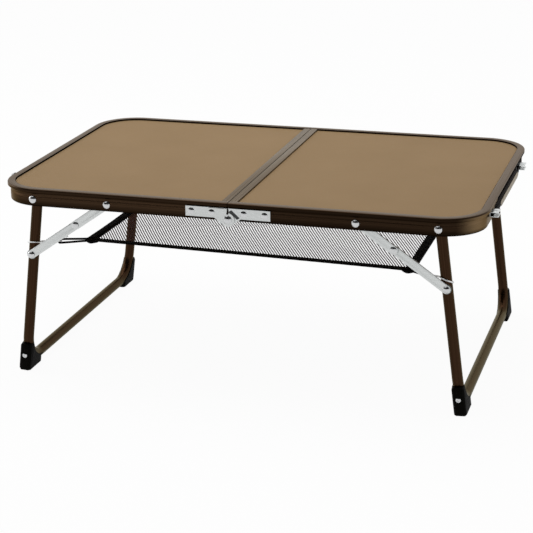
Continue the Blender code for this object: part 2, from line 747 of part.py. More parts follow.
def build_net(name, material, holder):
    """A flat open net with a tape round it, cut across at the corners where the ties hold it."""
    xs = net_lines(NET_WIDTH, NET_GAPS_X)
    ys = net_lines(NET_DEPTH, NET_GAPS_Y)
    middle = TOP - NET_DROP
    bm = bmesh.new()
    for i in range(len(xs) - 1):
        for j in range(len(ys) - 1):
            if i % 2 and j % 2:
                continue
            corners = [(xs[i], ys[j]), (xs[i + 1], ys[j]), (xs[i + 1], ys[j + 1]), (xs[i], ys[j + 1])]
            bm.faces.new([bm.verts.new((x, y, middle - NET_THICKNESS / 2)) for x, y in corners])
    bmesh.ops.remove_doubles(bm, verts=bm.verts, dist=1e-6)
    for vert in bm.verts:
        over = abs(vert.co.x) / (NET_WIDTH / 2) > 0.999 and abs(vert.co.y) / (NET_DEPTH / 2) > 0.999
        vert.tag = over
    tips = [vert for vert in bm.verts if vert.tag]
    bmesh.ops.bevel(bm, geom=tips, offset=NET_CORNER_CUT, segments=1, affect="VERTICES")
    grown = bmesh.ops.extrude_face_region(bm, geom=list(bm.faces))
    lifted = [item for item in grown["geom"] if isinstance(item, bmesh.types.BMVert)]
    bmesh.ops.translate(bm, verts=lifted, vec=(0.0, 0.0, NET_THICKNESS))
    add_piece(name, bm, material, holder)


def hook_frame(side, end):
    """A hook's place: the leg's axis there, the way to the other leg of the U, and square to it."""
    x = side * (PIVOT_X + HOOK_REACH * math.sin(LEG_SPLAY))
    z = PIVOT_Z - HOOK_REACH * math.cos(LEG_SPLAY)
    axis = Vector((x, end * LEG_Y, z))
    aim = Vector((0.0, -end, 0.0))
    return axis, aim, aim.cross(Vector((0.0, 0.0, 1.0)))


def hook_tilt(point, axis, side):
    """Tilts a level point into the plane that is square to the splayed leg."""
    return point + Vector((0.0, 0.0, side * math.tan(LEG_SPLAY) * (point.x - axis.x)))


def build_hook(name, side, end, material, holder):
    """A wire bent round the leg, with an arm that stays in the folded leg's plane and an eye."""
    axis, aim, beside = hook_frame(side, end)
    ring = TUBE_RADIUS + CLEARANCE + HOOK_WIRE / 2
    eye = axis + aim * HOOK_ARM
    path = []
    for angle in range(40, 346, 18):
        turn = math.radians(angle)
        path.append(axis + aim * ring * math.cos(turn) + beside * ring * math.sin(turn))
    path.append(axis + aim * (ring + HOOK_WIRE * 2))
    for angle in range(180, 481, 30):
        turn = math.radians(angle)
        path.append(eye + (aim * math.cos(turn) + beside * math.sin(turn)) * HOOK_EYE_RADIUS)
    tilted = [hook_tilt(point, axis, side) for point in path]
    add_piece(name, tube(tilted, HOOK_WIRE / 2, 6), material, holder)


def build_tie(name, side, end, material, holder):
    """An elastic loop that stands upright: from the net's corner, down through the eye and back."""
    axis, aim, beside = hook_frame(side, end)
    eye = hook_tilt(axis + aim * HOOK_ARM, axis, side)
    corner_x, corner_y, corner_z = net_corner()
    outward = Vector((side, end, 0.0)).normalized()
    knot = Vector((side * corner_x, end * corner_y, corner_z))
    knot += outward * (CLEARANCE + ELASTIC_DIAMETER / 4)
    along = (eye - knot).normalized()
    across = along.cross(beside).normalized()
    bow = ELASTIC_SPREAD / 2
    turn_at = eye - along * bow
    strand = []
    for i in range(7):
        share = i / 7
        ease = share * share * (3 - 2 * share)
        width = ELASTIC_PINCH / 2 + (bow - ELASTIC_PINCH / 2) * ease
        strand.append((knot.lerp(turn_at, share), width))
    path = [point + across * width for point, width in strand]
    for angle in range(0, 181, 20):
        turn = math.radians(angle)
        path.append(turn_at + across * bow * math.cos(turn) + along * bow * math.sin(turn))
    path += [point - across * width for point, width in reversed(strand)]
    add_piece(name, tube(path, ELASTIC_DIAMETER / 2, 6), material, holder)


def bracket_places():
    """Heights of the handle's middle line and its wall, for the right end."""
    wall = HALF_WIDTH - WAIST_INSET + CLEARANCE
    middle = TOP - HANDLE_DROP
    return wall, middle


def build_handle_bracket(name, end, material, holder):
    """A channel of steel on the end rail, slotted so that the handle can be drawn out."""
    wall, middle = bracket_places()
    gap = TONGUE_HEIGHT / 2 + CLEARANCE
    steel = BRACKET_STEEL
    tip = wall + BRACKET_REACH
    section = [
        (wall, middle - gap - steel),
        (tip, middle - gap - steel),
        (tip, middle - gap),
        (wall + steel, middle - gap),
        (wall + steel, middle + gap),
        (tip, middle + gap),
        (tip, middle + gap + steel),
        (wall, middle + gap + steel),
    ]
    centre = end * HANDLE_SPAN / 2 - HANDLE_OFFSET
    bm = plate_xz(section, centre - BRACKET_WIDTH / 2, centre + BRACKET_WIDTH / 2)
    bracket = add_piece(name, bm, material, holder)
    slot_start = wall + steel + CLEARANCE * 2
    width = PIN_RADIUS + BORE_PLAY
    slot = [
        (slot_start, middle - RAIL_HEIGHT),
        (slot_start + SLOT_LENGTH, middle - RAIL_HEIGHT),
        (slot_start + SLOT_LENGTH, middle + RAIL_HEIGHT),
        (slot_start, middle + RAIL_HEIGHT),
    ]
    shape_with(bracket, plate_xz(slot, centre - width, centre + width), "DIFFERENCE")


def build_handle(name, material, holder):
    """A moulded grip that thins to a tongue at each end, with an upright pin in each tongue."""
    wall, middle = bracket_places()
    pin_x = wall + BRACKET_STEEL + CLEARANCE * 2 + PIN_RADIUS + BORE_PLAY
    tongue_in = wall + BRACKET_STEEL + CLEARANCE
    tongue_out = tongue_in + TONGUE_THICKNESS
    grip_in = wall + GRIP_STANDOFF
    grip_out = grip_in + GRIP_THICKNESS
    tip = HANDLE_SPAN / 2 + BRACKET_WIDTH / 2
    neck = GRIP_LENGTH / 2 + GRIP_THICKNESS
    stations = (
        (tip, tongue_in, tongue_out, TONGUE_HEIGHT),
        (HANDLE_SPAN / 2 - BRACKET_WIDTH / 2 - GRIP_THICKNESS, tongue_in, tongue_out, TONGUE_HEIGHT),
        (neck, grip_in, grip_out, TONGUE_HEIGHT),
        (GRIP_LENGTH / 2, grip_in, grip_out, GRIP_HEIGHT),
    )
    rings = []
    for mirror, order in ((-1, stations), (1, tuple(reversed(stations)))):
        for y, inner, outer, height in order:
            half_x = (outer - inner) / 2
            half_z = height / 2
            ring = []
            for i in range(GRIP_SIDES):
                angle = 2 * math.pi * (i + 0.5) / GRIP_SIDES
                x = max(-1.0, min(1.0, GRIP_SQUARENESS * math.cos(angle)))
                z = max(-1.0, min(1.0, GRIP_SQUARENESS * math.sin(angle)))
                place_x = (inner + outer) / 2 + half_x * x
                ring.append((place_x, mirror * y - HANDLE_OFFSET, middle + half_z * z))
            rings.append(ring)
    handle = add_piece(name, loft(rings), material, holder)
    pins = bmesh.new()
    length = TONGUE_HEIGHT / 2 + CLEARANCE + BRACKET_STEEL
    for end in ENDS.values():
        rows = []
        for z in (middle - length, middle + length):
            circle = arc((pin_x, end * HANDLE_SPAN / 2 - HANDLE_OFFSET), PIN_RADIUS, 0, 315, 7)
            rows.append([(x, y, z) for x, y in circle])
        loft(rows, pins)
    shape_with(handle, pins, "UNION")


def build_clip(name, material, holder):
    """A bent spring strip on the left end that snaps over the other half's lip when closed."""
    wall = HALF_WIDTH - WAIST_INSET + CLEARANCE
    tip = HALF_WIDTH + CLIP_REACH
    foot = RAIL_BOTTOM + PIVOT_RISE
    elbow = TOP - LIP_FACE - COVE_HEIGHT - CLEARANCE
    steel = CLIP_STEEL
    section = [
        (wall, foot),
        (wall + steel, foot),
        (wall + steel, elbow - steel),
        (tip + steel, elbow + steel),
        (tip + steel, TOP - steel),
        (tip, TOP),
        (tip, elbow + steel * 2),
        (wall, elbow),
    ]
    outline = [(-x, z) for x, z in section]
    near = -CLIP_PLACE - CLIP_WIDTH / 2
    add_piece(name, plate_xz(outline, near, near + CLIP_WIDTH), material, holder)


clear_scene()

bronze = finish("dark bronze anodised aluminium", (0.045, 0.030, 0.020), 0.35, 0.6)
tan = finish("tan laminate", (0.32, 0.22, 0.12), 0.55, 0.0)
steel = finish("bright zinc-plated steel", (0.70, 0.72, 0.72), 0.28, 1.0)
black = finish("black moulded plastic", (0.012, 0.012, 0.012), 0.5, 0.0)
mesh_black = finish("black net", (0.02, 0.018, 0.02), 0.8, 0.0)
taupe = finish("taupe moulded grip", (0.35, 0.31, 0.26), 0.5, 0.0)

halves = {}
for side_name in SIDES:
    halves[side_name] = empty_at(side_name + "_half", (0.0, 0.0, HINGE_Z))

for side_name, side in SIDES.items():
    half = halves[side_name]
    leg_holder = empty_at(side_name + "_leg", (side * PIVOT_X, 0.0, PIVOT_Z), half)
    upper_holder = empty_at(side_name + "_upper_links", (side * ANCHOR_X, 0.0, PIVOT_Z), half)
    lower_place = (side * LEG_REACH_X, 0.0, LEG_REACH_Z)
    lower_holder = empty_at(side_name + "_lower_links", lower_place, leg_holder)
    build_edge_rail(side_name + "_edge_rail", side, bronze, half)
    build_centre_rail(side_name + "_centre_rail", side, bronze, half)
    build_board(side_name + "_top_board", side, tan, half)
    build_leg(side_name + "_leg_tube", side, bronze, leg_holder)
    for end_name, end in ENDS.items():
        corner = side_name + "_" + end_name
        build_hinge_plate(corner + "_hinge_plate", side, end, steel, half)
        build_leg_pivot(corner + "_leg_pivot_rivet", side, end, steel, half)
        build_stay_anchor(corner + "_stay_anchor_rivet", side, end, steel, half)
        build_upper_link(corner + "_upper_link", side, end, steel, upper_holder)
        build_stay_joint(corner + "_stay_joint_rivet", side, end, steel, upper_holder)
        build_lower_link(corner + "_lower_link", side, end, steel, lower_holder)
        build_leg_rivet(corner + "_leg_rivet", side, end, steel, leg_holder)
        build_foot(corner + "_foot", side, end, black, leg_holder)
        build_foot_screw(corner + "_foot_screw", side, end, steel, leg_holder)
        build_hook(corner + "_net_hook", side, end, steel, leg_holder)
        build_tie(corner + "_net_tie", side, end, black, half)

for end_name, end in ENDS.items():
    build_hinge_rivet(end_name + "_hinge_rivet", end, steel, halves["left"])
    build_handle_bracket(end_name + "_handle_bracket", end, steel, halves["right"])

wall_x, handle_z = bracket_places()
handle_holder = empty_at("handle_slide", (wall_x, 0.0, handle_z), halves["right"])
build_handle("carrying_handle", taupe, handle_holder)
build_clip("closing_clip", steel, halves["left"])
build_net("shelf_net", mesh_black, halves["left"])
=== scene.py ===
"""A folding camping table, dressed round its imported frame, in the order it is put together."""

import json
import math

import bmesh
import bpy
import numpy as np
from mathutils import Matrix, Vector

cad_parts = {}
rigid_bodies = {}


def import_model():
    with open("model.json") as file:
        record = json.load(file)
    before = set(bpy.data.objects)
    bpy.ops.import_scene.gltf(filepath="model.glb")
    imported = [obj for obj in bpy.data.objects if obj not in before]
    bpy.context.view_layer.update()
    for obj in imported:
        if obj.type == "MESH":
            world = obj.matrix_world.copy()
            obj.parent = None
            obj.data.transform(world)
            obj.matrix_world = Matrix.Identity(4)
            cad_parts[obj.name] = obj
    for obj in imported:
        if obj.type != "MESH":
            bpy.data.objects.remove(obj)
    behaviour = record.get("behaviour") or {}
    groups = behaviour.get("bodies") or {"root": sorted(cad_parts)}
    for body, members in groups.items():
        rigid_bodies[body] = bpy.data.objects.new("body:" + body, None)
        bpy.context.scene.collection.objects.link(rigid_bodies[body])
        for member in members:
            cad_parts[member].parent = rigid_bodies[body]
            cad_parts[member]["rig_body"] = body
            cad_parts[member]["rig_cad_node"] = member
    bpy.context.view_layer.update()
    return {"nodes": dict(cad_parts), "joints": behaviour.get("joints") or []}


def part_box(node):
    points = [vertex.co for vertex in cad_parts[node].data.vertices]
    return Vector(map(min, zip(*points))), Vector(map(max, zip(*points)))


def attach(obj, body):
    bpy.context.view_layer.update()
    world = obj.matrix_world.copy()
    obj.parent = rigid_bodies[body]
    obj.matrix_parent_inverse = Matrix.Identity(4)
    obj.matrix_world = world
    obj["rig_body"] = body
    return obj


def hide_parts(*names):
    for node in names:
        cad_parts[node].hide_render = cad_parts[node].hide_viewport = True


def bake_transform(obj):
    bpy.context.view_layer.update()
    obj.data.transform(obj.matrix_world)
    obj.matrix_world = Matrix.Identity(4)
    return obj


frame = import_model()

# Edge rails. Each half of the top has an aluminium extrusion, anodised dark bronze, bent round
# three sides. Its lip laps over the board, and under a waist its skirt takes the rivets.
halves = (("left", -1), ("right", 1))
rail_low, rail_high = (np.array(corner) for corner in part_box("right_edge_rail"))
half_width = rail_high[0]
half_depth = rail_high[1]
seam_x = rail_low[0]
top_z = rail_high[2]
rail_bottom = rail_low[2]
corner_radius = 0.055
lip_width = 0.010
lip_thickness = 0.0018
lip_round = 0.0016
lip_inner_round = 0.0005
lip_face = 0.0043
waist_inset = 0.0040
skirt_inset = 0.0032
skirt_round = 0.0010
skirt_inner_round = 0.0004
skirt_drop = 0.0020
hinge_room = 0.007
flare_bottom = top_z - 0.0122
flare_height = 0.0042
cove_height = 0.0035
web_inner = 0.0056
ledge_width = 0.0040
ledge_top = top_z - 0.0052
ledge_bottom = ledge_top - 0.0015


def arc(centre, radius, start, stop, steps):
    """Points on a circle about centre, evenly from the start angle to the stop angle in degrees."""
    angle = np.radians(np.linspace(start, stop, steps + 1))
    return np.stack([centre[0] + radius * np.cos(angle), centre[1] + radius * np.sin(angle)], axis=1)


def rail_section(bottom):
    """The extrusion's outline as (inset from the table's edge, height), once round, down to that
    bottom. The skirt stands upright under a flare that eases from the waist by a smooth step."""
    lip_bottom = top_z - lip_face
    waist_top = lip_bottom - cove_height
    bend = np.radians(np.linspace(8, 90, 8))
    cove = np.stack([waist_inset * np.cos(bend), waist_top + cove_height * np.sin(bend)], axis=1)
    flare = np.linspace(0, 1, 6)
    ease = flare * flare * (3 - 2 * flare)
    skirt = np.stack([skirt_inset + (waist_inset - skirt_inset) * ease,
                      flare_bottom + flare_height * flare], axis=1)
    return np.concatenate([
        arc((lip_round, top_z - lip_round), lip_round, 180, 90, 7),
        arc((lip_width - lip_inner_round, top_z - lip_inner_round), lip_inner_round, 90, 0, 3),
        [(lip_width, top_z - lip_thickness), (web_inner, top_z - lip_thickness)],
        [(web_inner, ledge_top), (web_inner + ledge_width, ledge_top)],
        [(web_inner + ledge_width, ledge_bottom), (web_inner, ledge_bottom)],
        arc((web_inner - skirt_inner_round, bottom + skirt_inner_round), skirt_inner_round, 0, -90, 3),
        arc((skirt_inset + skirt_round, bottom + skirt_round), skirt_round, 270, 180, 3),
        skirt,
        cove,
    ])


def placed(name, data):
    """Puts a mesh, lamp or lens into the scene as an object at the origin."""
    thing = bpy.data.objects.new(name, data)
    bpy.context.scene.collection.objects.link(thing)
    return thing


def face_outwards(mesh):
    """Turns the faces of a closed mesh so that they all point out of it."""
    shell = bmesh.new()
    shell.from_mesh(mesh)
    bmesh.ops.recalc_face_normals(shell, faces=shell.faces)
    shell.to_mesh(mesh)
    shell.free()


def skin(name, grid, rows_at=None, columns_at=None, around=True, caps=True, sharp=38):
    """Joins a grid of points to quads, closed round its columns and capped at its first and last
    row where asked. rows_at and columns_at become the surface's UV, in metres."""
    rows, columns = grid.shape[:2]
    across = columns if around else columns - 1
    i, j = np.meshgrid(np.arange(rows - 1), np.arange(across), indexing="ij")
    k = (j + 1) % columns
    here = i * columns
    quads = np.stack([here + j, here + k, here + columns + k, here + columns + j], axis=-1)
    faces = quads.reshape(-1, 4).tolist()
    if caps:
        faces.append(list(range(columns))[::-1])
        faces.append(list(range((rows - 1) * columns, rows * columns)))
    mesh = bpy.data.meshes.new(name)
    mesh.from_pydata(grid.reshape(-1, 3).tolist(), [], faces)
    u = np.arange(rows) if rows_at is None else np.asarray(rows_at)
    v = np.arange(columns + 1) if columns_at is None else np.asarray(columns_at)
    uv = np.zeros((len(mesh.loops), 2))
    corners = np.stack([np.stack([u[i], v[j]], -1), np.stack([u[i], v[j + 1]], -1),
                        np.stack([u[i + 1], v[j + 1]], -1), np.stack([u[i + 1], v[j]], -1)], axis=2)
    uv[:corners.size // 2] = corners.reshape(-1, 2)
    mesh.uv_layers.new(name="UVMap").data.foreach_set("uv", uv.ravel())
    face_outwards(mesh)
    mesh.shade_smooth()
    mesh.set_sharp_from_angle(angle=math.radians(sharp))
    return placed(name, mesh)


def lengths(points):
    """How far along a row of points each one lies, in metres."""
    steps = np.linalg.norm(np.diff(points, axis=0), axis=-1)
    return np.concatenate([[0.0], np.cumsum(steps)])


def finish(name, colour, roughness, metallic=0.0, specular=0.5):
    """A Principled material whose plain numbers sit on the shader's own sockets."""
    material = bpy.data.materials.new(name)
    material.use_nodes = True
    shader = material.node_tree.nodes["Principled BSDF"]
    shader.inputs["Base Color"].default_value = (*colour, 1.0)
    shader.inputs["Roughness"].default_value = roughness
    shader.inputs["Metallic"].default_value = metallic
    shader.inputs["Specular IOR Level"].default_value = specular
    return material, shader


def node(tree, kind, **values):
    """Adds one node; values go to its sockets by name, or to its settings in lower case."""
    made = tree.nodes.new("ShaderNode" + kind)
    for key, value in values.items():
        if key.islower():
            setattr(made, key, value)
        else:
            made.inputs[key.replace("_", " ")].default_value = value
    return made


def grain(shader, coordinate, stretch, detail=4.0):
    """Noise on the piece's own coordinates, alike all ways for one number, or stretched by three so
    that its streaks run one way."""
    tree = shader.id_data
    place = node(tree, "TexCoord")
    scaled = node(tree, "Mapping", Scale=np.broadcast_to(stretch, 3).tolist())
    noise = node(tree, "TexNoise", Scale=1.0, Detail=detail, Roughness=0.6)
    tree.links.new(place.outputs[coordinate], scaled.inputs["Vector"])
    tree.links.new(scaled.outputs["Vector"], noise.inputs["Vector"])
    return noise.outputs["Fac"]


noise_low = 0.3
noise_high = 0.7


def tinted(shader, value, dark, light):
    """Carries the base colour from dark to light over the range that most of the noise is in."""
    tree = shader.id_data
    ramp = node(tree, "ValToRGB")
    stops = ramp.color_ramp.elements
    stops[0].position = noise_low
    stops[0].color = (*dark, 1.0)
    stops[1].position = noise_high
    stops[1].color = (*light, 1.0)
    tree.links.new(value, ramp.inputs["Fac"])
    tree.links.new(ramp.outputs["Color"], shader.inputs["Base Color"])


def roughened(shader, value, low, high):
    """Carries the roughness from low to high over the same range of the noise."""
    tree = shader.id_data
    span = node(tree, "MapRange", From_Min=noise_low, From_Max=noise_high, To_Min=low, To_Max=high)
    tree.links.new(value, span.inputs["Value"])
    tree.links.new(span.outputs["Result"], shader.inputs["Roughness"])


def bumped(shader, value, distance, strength):
    """Raises the surface by a value times distance, in metres."""
    tree = shader.id_data
    bump = node(tree, "Bump", Strength=strength, Distance=distance)
    tree.links.new(value, bump.inputs["Height"])
    tree.links.new(bump.outputs["Normal"], shader.inputs["Normal"])


def bronze(name, coordinate, stretch, dark, light, edge):
    """Anodised aluminium: dark bronze with fine die lines along the extrusion.

    edge is the colour that the metal shows when it is seen from nearly along its surface."""
    material, shader = finish(name, light, 0.3, 1.0)
    shader.inputs["Specular Tint"].default_value = (*edge, 1.0)
    lines = grain(shader, coordinate, stretch)
    tinted(shader, lines, dark, light)
    roughened(shader, lines, 0.24, 0.40)
    bumped(shader, lines, 0.00002, 0.5)
    return material


def uv_part(tree, axis):
    """One coordinate of the surface's UV, X along it or Y across it."""
    place = node(tree, "TexCoord")
    parts = node(tree, "SeparateXYZ")
    tree.links.new(place.outputs["UV"], parts.inputs["Vector"])
    return parts.outputs[axis]


def reckon(tree, operation, first, second):
    """One Math node on a value and a second value, which may be a plain number."""
    made = node(tree, "Math", operation=operation)
    tree.links.new(first, made.inputs[0])
    if isinstance(second, float):
        made.inputs[1].default_value = second
    else:
        tree.links.new(second, made.inputs[1])
    return made.outputs[0]


def toned_across(material, places, tones):
    """Multiplies a finish by a tone that runs straight from one place to the next across the UV."""
    tree = material.node_tree
    colour = tree.nodes["Principled BSDF"].inputs["Base Color"]
    share = node(tree, "MapRange", From_Min=places[0], From_Max=places[-1])
    tree.links.new(uv_part(tree, "Y"), share.inputs["Value"])
    ramp = node(tree, "ValToRGB")
    stops = ramp.color_ramp.elements
    for where, tone in zip(places[1:-1], tones[1:-1]):
        stops.new((where - places[0]) / (places[-1] - places[0])).color = (tone, tone, tone, 1.0)
    stops[0].color = (tones[0], tones[0], tones[0], 1.0)
    stops[len(stops) - 1].color = (tones[-1], tones[-1], tones[-1], 1.0)
    tree.links.new(share.outputs["Result"], ramp.inputs["Fac"])
    mix = node(tree, "MixRGB", blend_type="MULTIPLY", Fac=1.0)
    tree.links.new(colour.links[0].from_socket, mix.inputs["Color1"])
    tree.links.new(ramp.outputs["Color"], mix.inputs["Color2"])
    tree.links.new(mix.outputs["Color"], colour)


def painted_bend_highlight(material, run_middle, bend_at, spread, tone):
    """Mixes a paler tone into a finish as a painted highlight: a smooth bump about the two places along
    the UV that lie bend_at to either side of the middle of the run."""
    tree = material.node_tree
    colour = tree.nodes["Principled BSDF"].inputs["Base Color"]
    away = uv_part(tree, "X")
    for offset in (run_middle, bend_at):
        away = reckon(tree, "ABSOLUTE", reckon(tree, "SUBTRACT", away, float(offset)), 0.0)
    bump = node(tree, "MapRange", interpolation_type="SMOOTHSTEP", From_Min=spread, From_Max=0.0)
    tree.links.new(away, bump.inputs["Value"])
    mix = node(tree, "MixRGB", Color2=(*tone, 1.0))
    tree.links.new(bump.outputs["Result"], mix.inputs["Fac"])
    tree.links.new(colour.links[0].from_socket, mix.inputs["Color1"])
    tree.links.new(mix.outputs["Color"], colour)


def paint(piece, material):
    """Gives a piece its finish."""
    piece.data.materials.clear()
    piece.data.materials.append(material)


def within(numbers, span):
    """Which of the numbers lie in a span, its ends included."""
    return (numbers >= span[0]) & (numbers <= span[1])


fine_lines = (3.0, 1400.0, 1.0)
coarse_lines = (3.0, 700.0, 1.0)
rail_dark = np.array([0.016, 0.0085, 0.0045])
rail_light = np.array([0.043, 0.025, 0.0138])
lip_bronze = bronze("bronze_lip", "UV", fine_lines, rail_dark, rail_light, (1.0, 0.91, 0.82))
# Painted shade: a near-black bronze stands in for the shade on the lip's inner edge, along the skirt's
# foot and on the wall behind the handle.
shade_bronze = bronze("bronze_painted_shade", "UV", fine_lines, (0.004, 0.0022, 0.0012),
                       (0.012, 0.0062, 0.0032), (0.08, 0.06, 0.05))
# Painted light and shade: the left rail's wall is painted lighter and the right rail's darker, for light
# that falls more from the left.
wall_light_and_shade = {"left": 1.22, "right": 0.75}
wall_edge = (0.80, 0.69, 0.56)
bend_highlight_tone = {"left": (0.060, 0.038, 0.022), "right": (0.172, 0.114, 0.060)}
bend_spread = 0.034
bend_peak = corner_radius * 1.05
foot_shade_rise = (0.0016, 0.0040)
foot_shade_tones = (0.30, 0.53, 1.0, 1.0)
shoulder_rise = 0.0015
shoulder_highlight_tones = (0.85, 1.15, 1.35, 2.7, 1.1, 0.75)
skirt_points = [25, 26, 31, 33]
wall_strips = (22, 39)
lip_edge_shade_strips = (8, 15)
foot_shade_strips = (18, 24)
handle_shade_runs = (39, 47)
seam_section = rail_section(rail_bottom)
section = rail_section(rail_bottom - skirt_drop)
corner_x = half_width - corner_radius
corner_y = half_depth - corner_radius
turn_front = np.linspace(-90, 0, 25)
turn_back = np.linspace(0, 90, 25)
straight = np.append([seam_x, 0.0060, 0.0080], np.linspace(0.030, corner_x, 11)[:-1])
side_run = np.linspace(-corner_y, corner_y, 12)[1:-1]
flat = len(straight)
bent = len(turn_front)
track_angle = np.concatenate([np.full(flat, -90.0), turn_front, np.zeros_like(side_run), turn_back,
                              np.full(flat, 90.0)])
track_x = np.concatenate([straight, np.full(2 * bent + len(side_run), corner_x), straight[::-1]])
track_y = np.concatenate([np.full(flat + bent, -corner_y), side_run, np.full(bent + flat, corner_y)])
run_section = np.where((track_x > hinge_room)[:, None, None], section, seam_section)
reach = corner_radius - run_section[..., 0]
facing = np.radians(track_angle)[:, None]
around = lengths(np.concatenate([section, section[:1]]))
foot, flare_start, flare_end, cove_start = around[skirt_points]
foot_shade_places = (foot, foot + foot_shade_rise[0], foot + foot_shade_rise[1], cove_start)
shoulder_highlight_places = (foot + foot_shade_rise[1], flare_start - shoulder_rise, flare_start,
                   (flare_start + flare_end) / 2, flare_end, cove_start)
for side_name, side in halves:
    grid = np.stack([
        side * (track_x[:, None] + reach * np.cos(facing)),
        track_y[:, None] + reach * np.sin(facing),
        run_section[..., 1],
    ], axis=-1)
    run = lengths(grid[:, 0])
    rail = skin(side_name + "_rail", grid, run, around)
    paint(rail, lip_bronze)
    # depth scales the wall's colour by the painted light and shade of its side.
    depth = wall_light_and_shade[side_name]
    wall_bronze = bronze(side_name + "_bronze_wall", "UV", coarse_lines, depth * rail_dark,
                         depth * rail_light, wall_edge)
    # Painted highlight: a paler band on the flare of the skirt, with painted shade darkening it towards
    # the cove under the lip.
    toned_across(wall_bronze, shoulder_highlight_places, shoulder_highlight_tones)
    # Painted highlight: a paler golden tone in the middle of each corner bend, strong on the right rail
    # and faint on the left.
    bend_at = run[-1] / 2 - (corner_x - seam_x) - bend_peak
    painted_bend_highlight(wall_bronze, run[-1] / 2, bend_at, bend_spread, bend_highlight_tone[side_name])
    # Painted shade: the wall darkens towards the foot of the skirt.
    toned_across(wall_bronze, foot_shade_places, foot_shade_tones)
    rail.data.materials.append(wall_bronze)
    rail.data.materials.append(shade_bronze)
    run_number, strip = np.divmod(np.arange(len(rail.data.polygons)), len(section))
    # Painted shade: these strips take the near-black bronze, and on the right rail so does the wall behind
    # the handle.
    dark = within(strip, lip_edge_shade_strips) | within(strip, foot_shade_strips)
    if side_name == "right":
        dark |= (strip >= wall_strips[0]) & within(run_number, handle_shade_runs)
    finish_number = np.where(dark, 2, within(strip, wall_strips)).astype(np.int32)
    finish_number[-2:] = 0
    rail.data.polygons.foreach_set("material_index", finish_number)
    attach(rail, side_name + "_half")
    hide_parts(side_name + "_edge_rail")

# Centre rails. A straight length of the same bronze metal closes each half along the seam, its
# lip level with the edge rail's, and its web pushed in under the edge rail's ledge.
# Painted highlight: this bronze is painted far lighter than the edge rails' for the brighter reflection on
# the centre rail's top.
lit_centre_bronze = bronze("bronze_centre_rail_painted_light", "Object", (1400.0, 3.0, 1400.0), (0.095, 0.076, 0.058),
                       (0.150, 0.121, 0.094), (0.85, 0.79, 0.71))
soft_edge = 0.0003


def rounded_copy(name, cad_node, radius, segments=2, angle=40, sharp=38):
    """A copy of a solid with its triangles joined to flat faces and its edges rounded off."""
    solid = bmesh.new()
    solid.from_mesh(frame["nodes"][cad_node].data)
    bmesh.ops.remove_doubles(solid, verts=solid.verts, dist=2e-6)
    bmesh.ops.dissolve_limit(solid, angle_limit=math.radians(1), verts=solid.verts, edges=solid.edges)
    edges = [edge for edge in solid.edges if edge.calc_face_angle(0.0) > math.radians(angle)]
    bmesh.ops.bevel(solid, geom=edges, offset=radius, segments=segments, profile=0.5, affect="EDGES",
                    clamp_overlap=False)
    mesh = bpy.data.meshes.new(name)
    solid.to_mesh(mesh)
    solid.free()
    mesh.shade_smooth()
    mesh.set_sharp_from_angle(angle=math.radians(sharp))
    piece = placed(name, mesh)
    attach(piece, frame["nodes"][cad_node]["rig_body"])
    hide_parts(cad_node)
    return piece


for side_name in ("left", "right"):
    strip = rounded_copy(side_name + "_seam_strip", side_name + "_centre_rail", soft_edge)
    paint(strip, lit_centre_bronze)

# Boards. Each half is filled by a thin fibre board with a tan, finely pebbled film on top,
# slid into the rails' grooves.
board_film, shader = finish("tan_board_film", (0.285, 0.187, 0.094), 0.7, specular=0.12)
cloud = grain(shader, "Object", 9.0, 3.0)
pebble = grain(shader, "Object", 900.0, 2.0)
tinted(shader, cloud, (0.276, 0.181, 0.090), (0.296, 0.195, 0.099))
roughened(shader, pebble, 0.62, 0.78)
bumped(shader, pebble, 0.00004, 0.5)
for side_name in ("left", "right"):
    paint(frame["nodes"][side_name + "_top_board"], board_film)

# Top hinge. Zinc-plated steel leaves are riveted to the front and back rails, and the left one's
# ear laps over the right one's. A domed rivet at the rail's lower edge joins the ears.
zinc, shader = finish("bright_zinc", (0.69, 0.71, 0.705), 0.33, 1.0)
drawn = grain(shader, "Object", (60.0, 240.0, 900.0), 3.0)
tinted(shader, drawn, (0.63, 0.65, 0.645), (0.75, 0.77, 0.765))
roughened(shader, drawn, 0.28, 0.42)
rivet_zinc, shader = finish("polished_zinc", (0.66, 0.67, 0.675), 0.16, 1.0)
roughened(shader, grain(shader, "Object", 500.0, 2.0), 0.12, 0.22)
front_back = (("front", -1), ("back", 1))
pole = 0.00003
rim_height = 0.0003


def turned(name, profile, centre, end, sides=28):
    """A (radius, y) profile turned about an axis along Y through centre = (x, z).

    end is -1 at the front and 1 at the back."""
    angle = np.linspace(0, 2 * np.pi, sides, endpoint=False)
    radius, y = np.array(profile).T
    grid = np.stack([
        centre[0] + radius[:, None] * np.cos(angle),
        np.broadcast_to(end * y[:, None], (len(y), sides)),
        centre[1] + radius[:, None] * np.sin(angle),
    ], axis=-1)
    return skin(name, grid, lengths(np.array(profile)), np.append(angle, 2 * np.pi) * radius.max())


def dome(radius, seat, height, steps=8):
    """A domed head's profile from its rim at y = seat out to its top: a cap of a ball that stands
    on a low rim. Its top ends at a hair's radius, which the cap closes."""
    rise = height - rim_height
    ball = (radius ** 2 + rise ** 2) / (2 * rise)
    angle = np.linspace(math.asin(radius / ball), 0, steps + 1)
    cap = np.stack([np.maximum(ball * np.sin(angle), pole),
                    seat + height - ball * (1 - np.cos(angle))], axis=1)
    return np.concatenate([[(radius * 0.97, seat)], cap])


def middle(cad_node):
    """The middle of a solid's box as (x, z), and its least and greatest distance from Y = 0."""
    low, high = (np.array(corner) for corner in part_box(cad_node))
    reach = np.sort(np.abs([low[1], high[1]]))
    return (low[[0, 2]] + high[[0, 2]]) / 2, reach


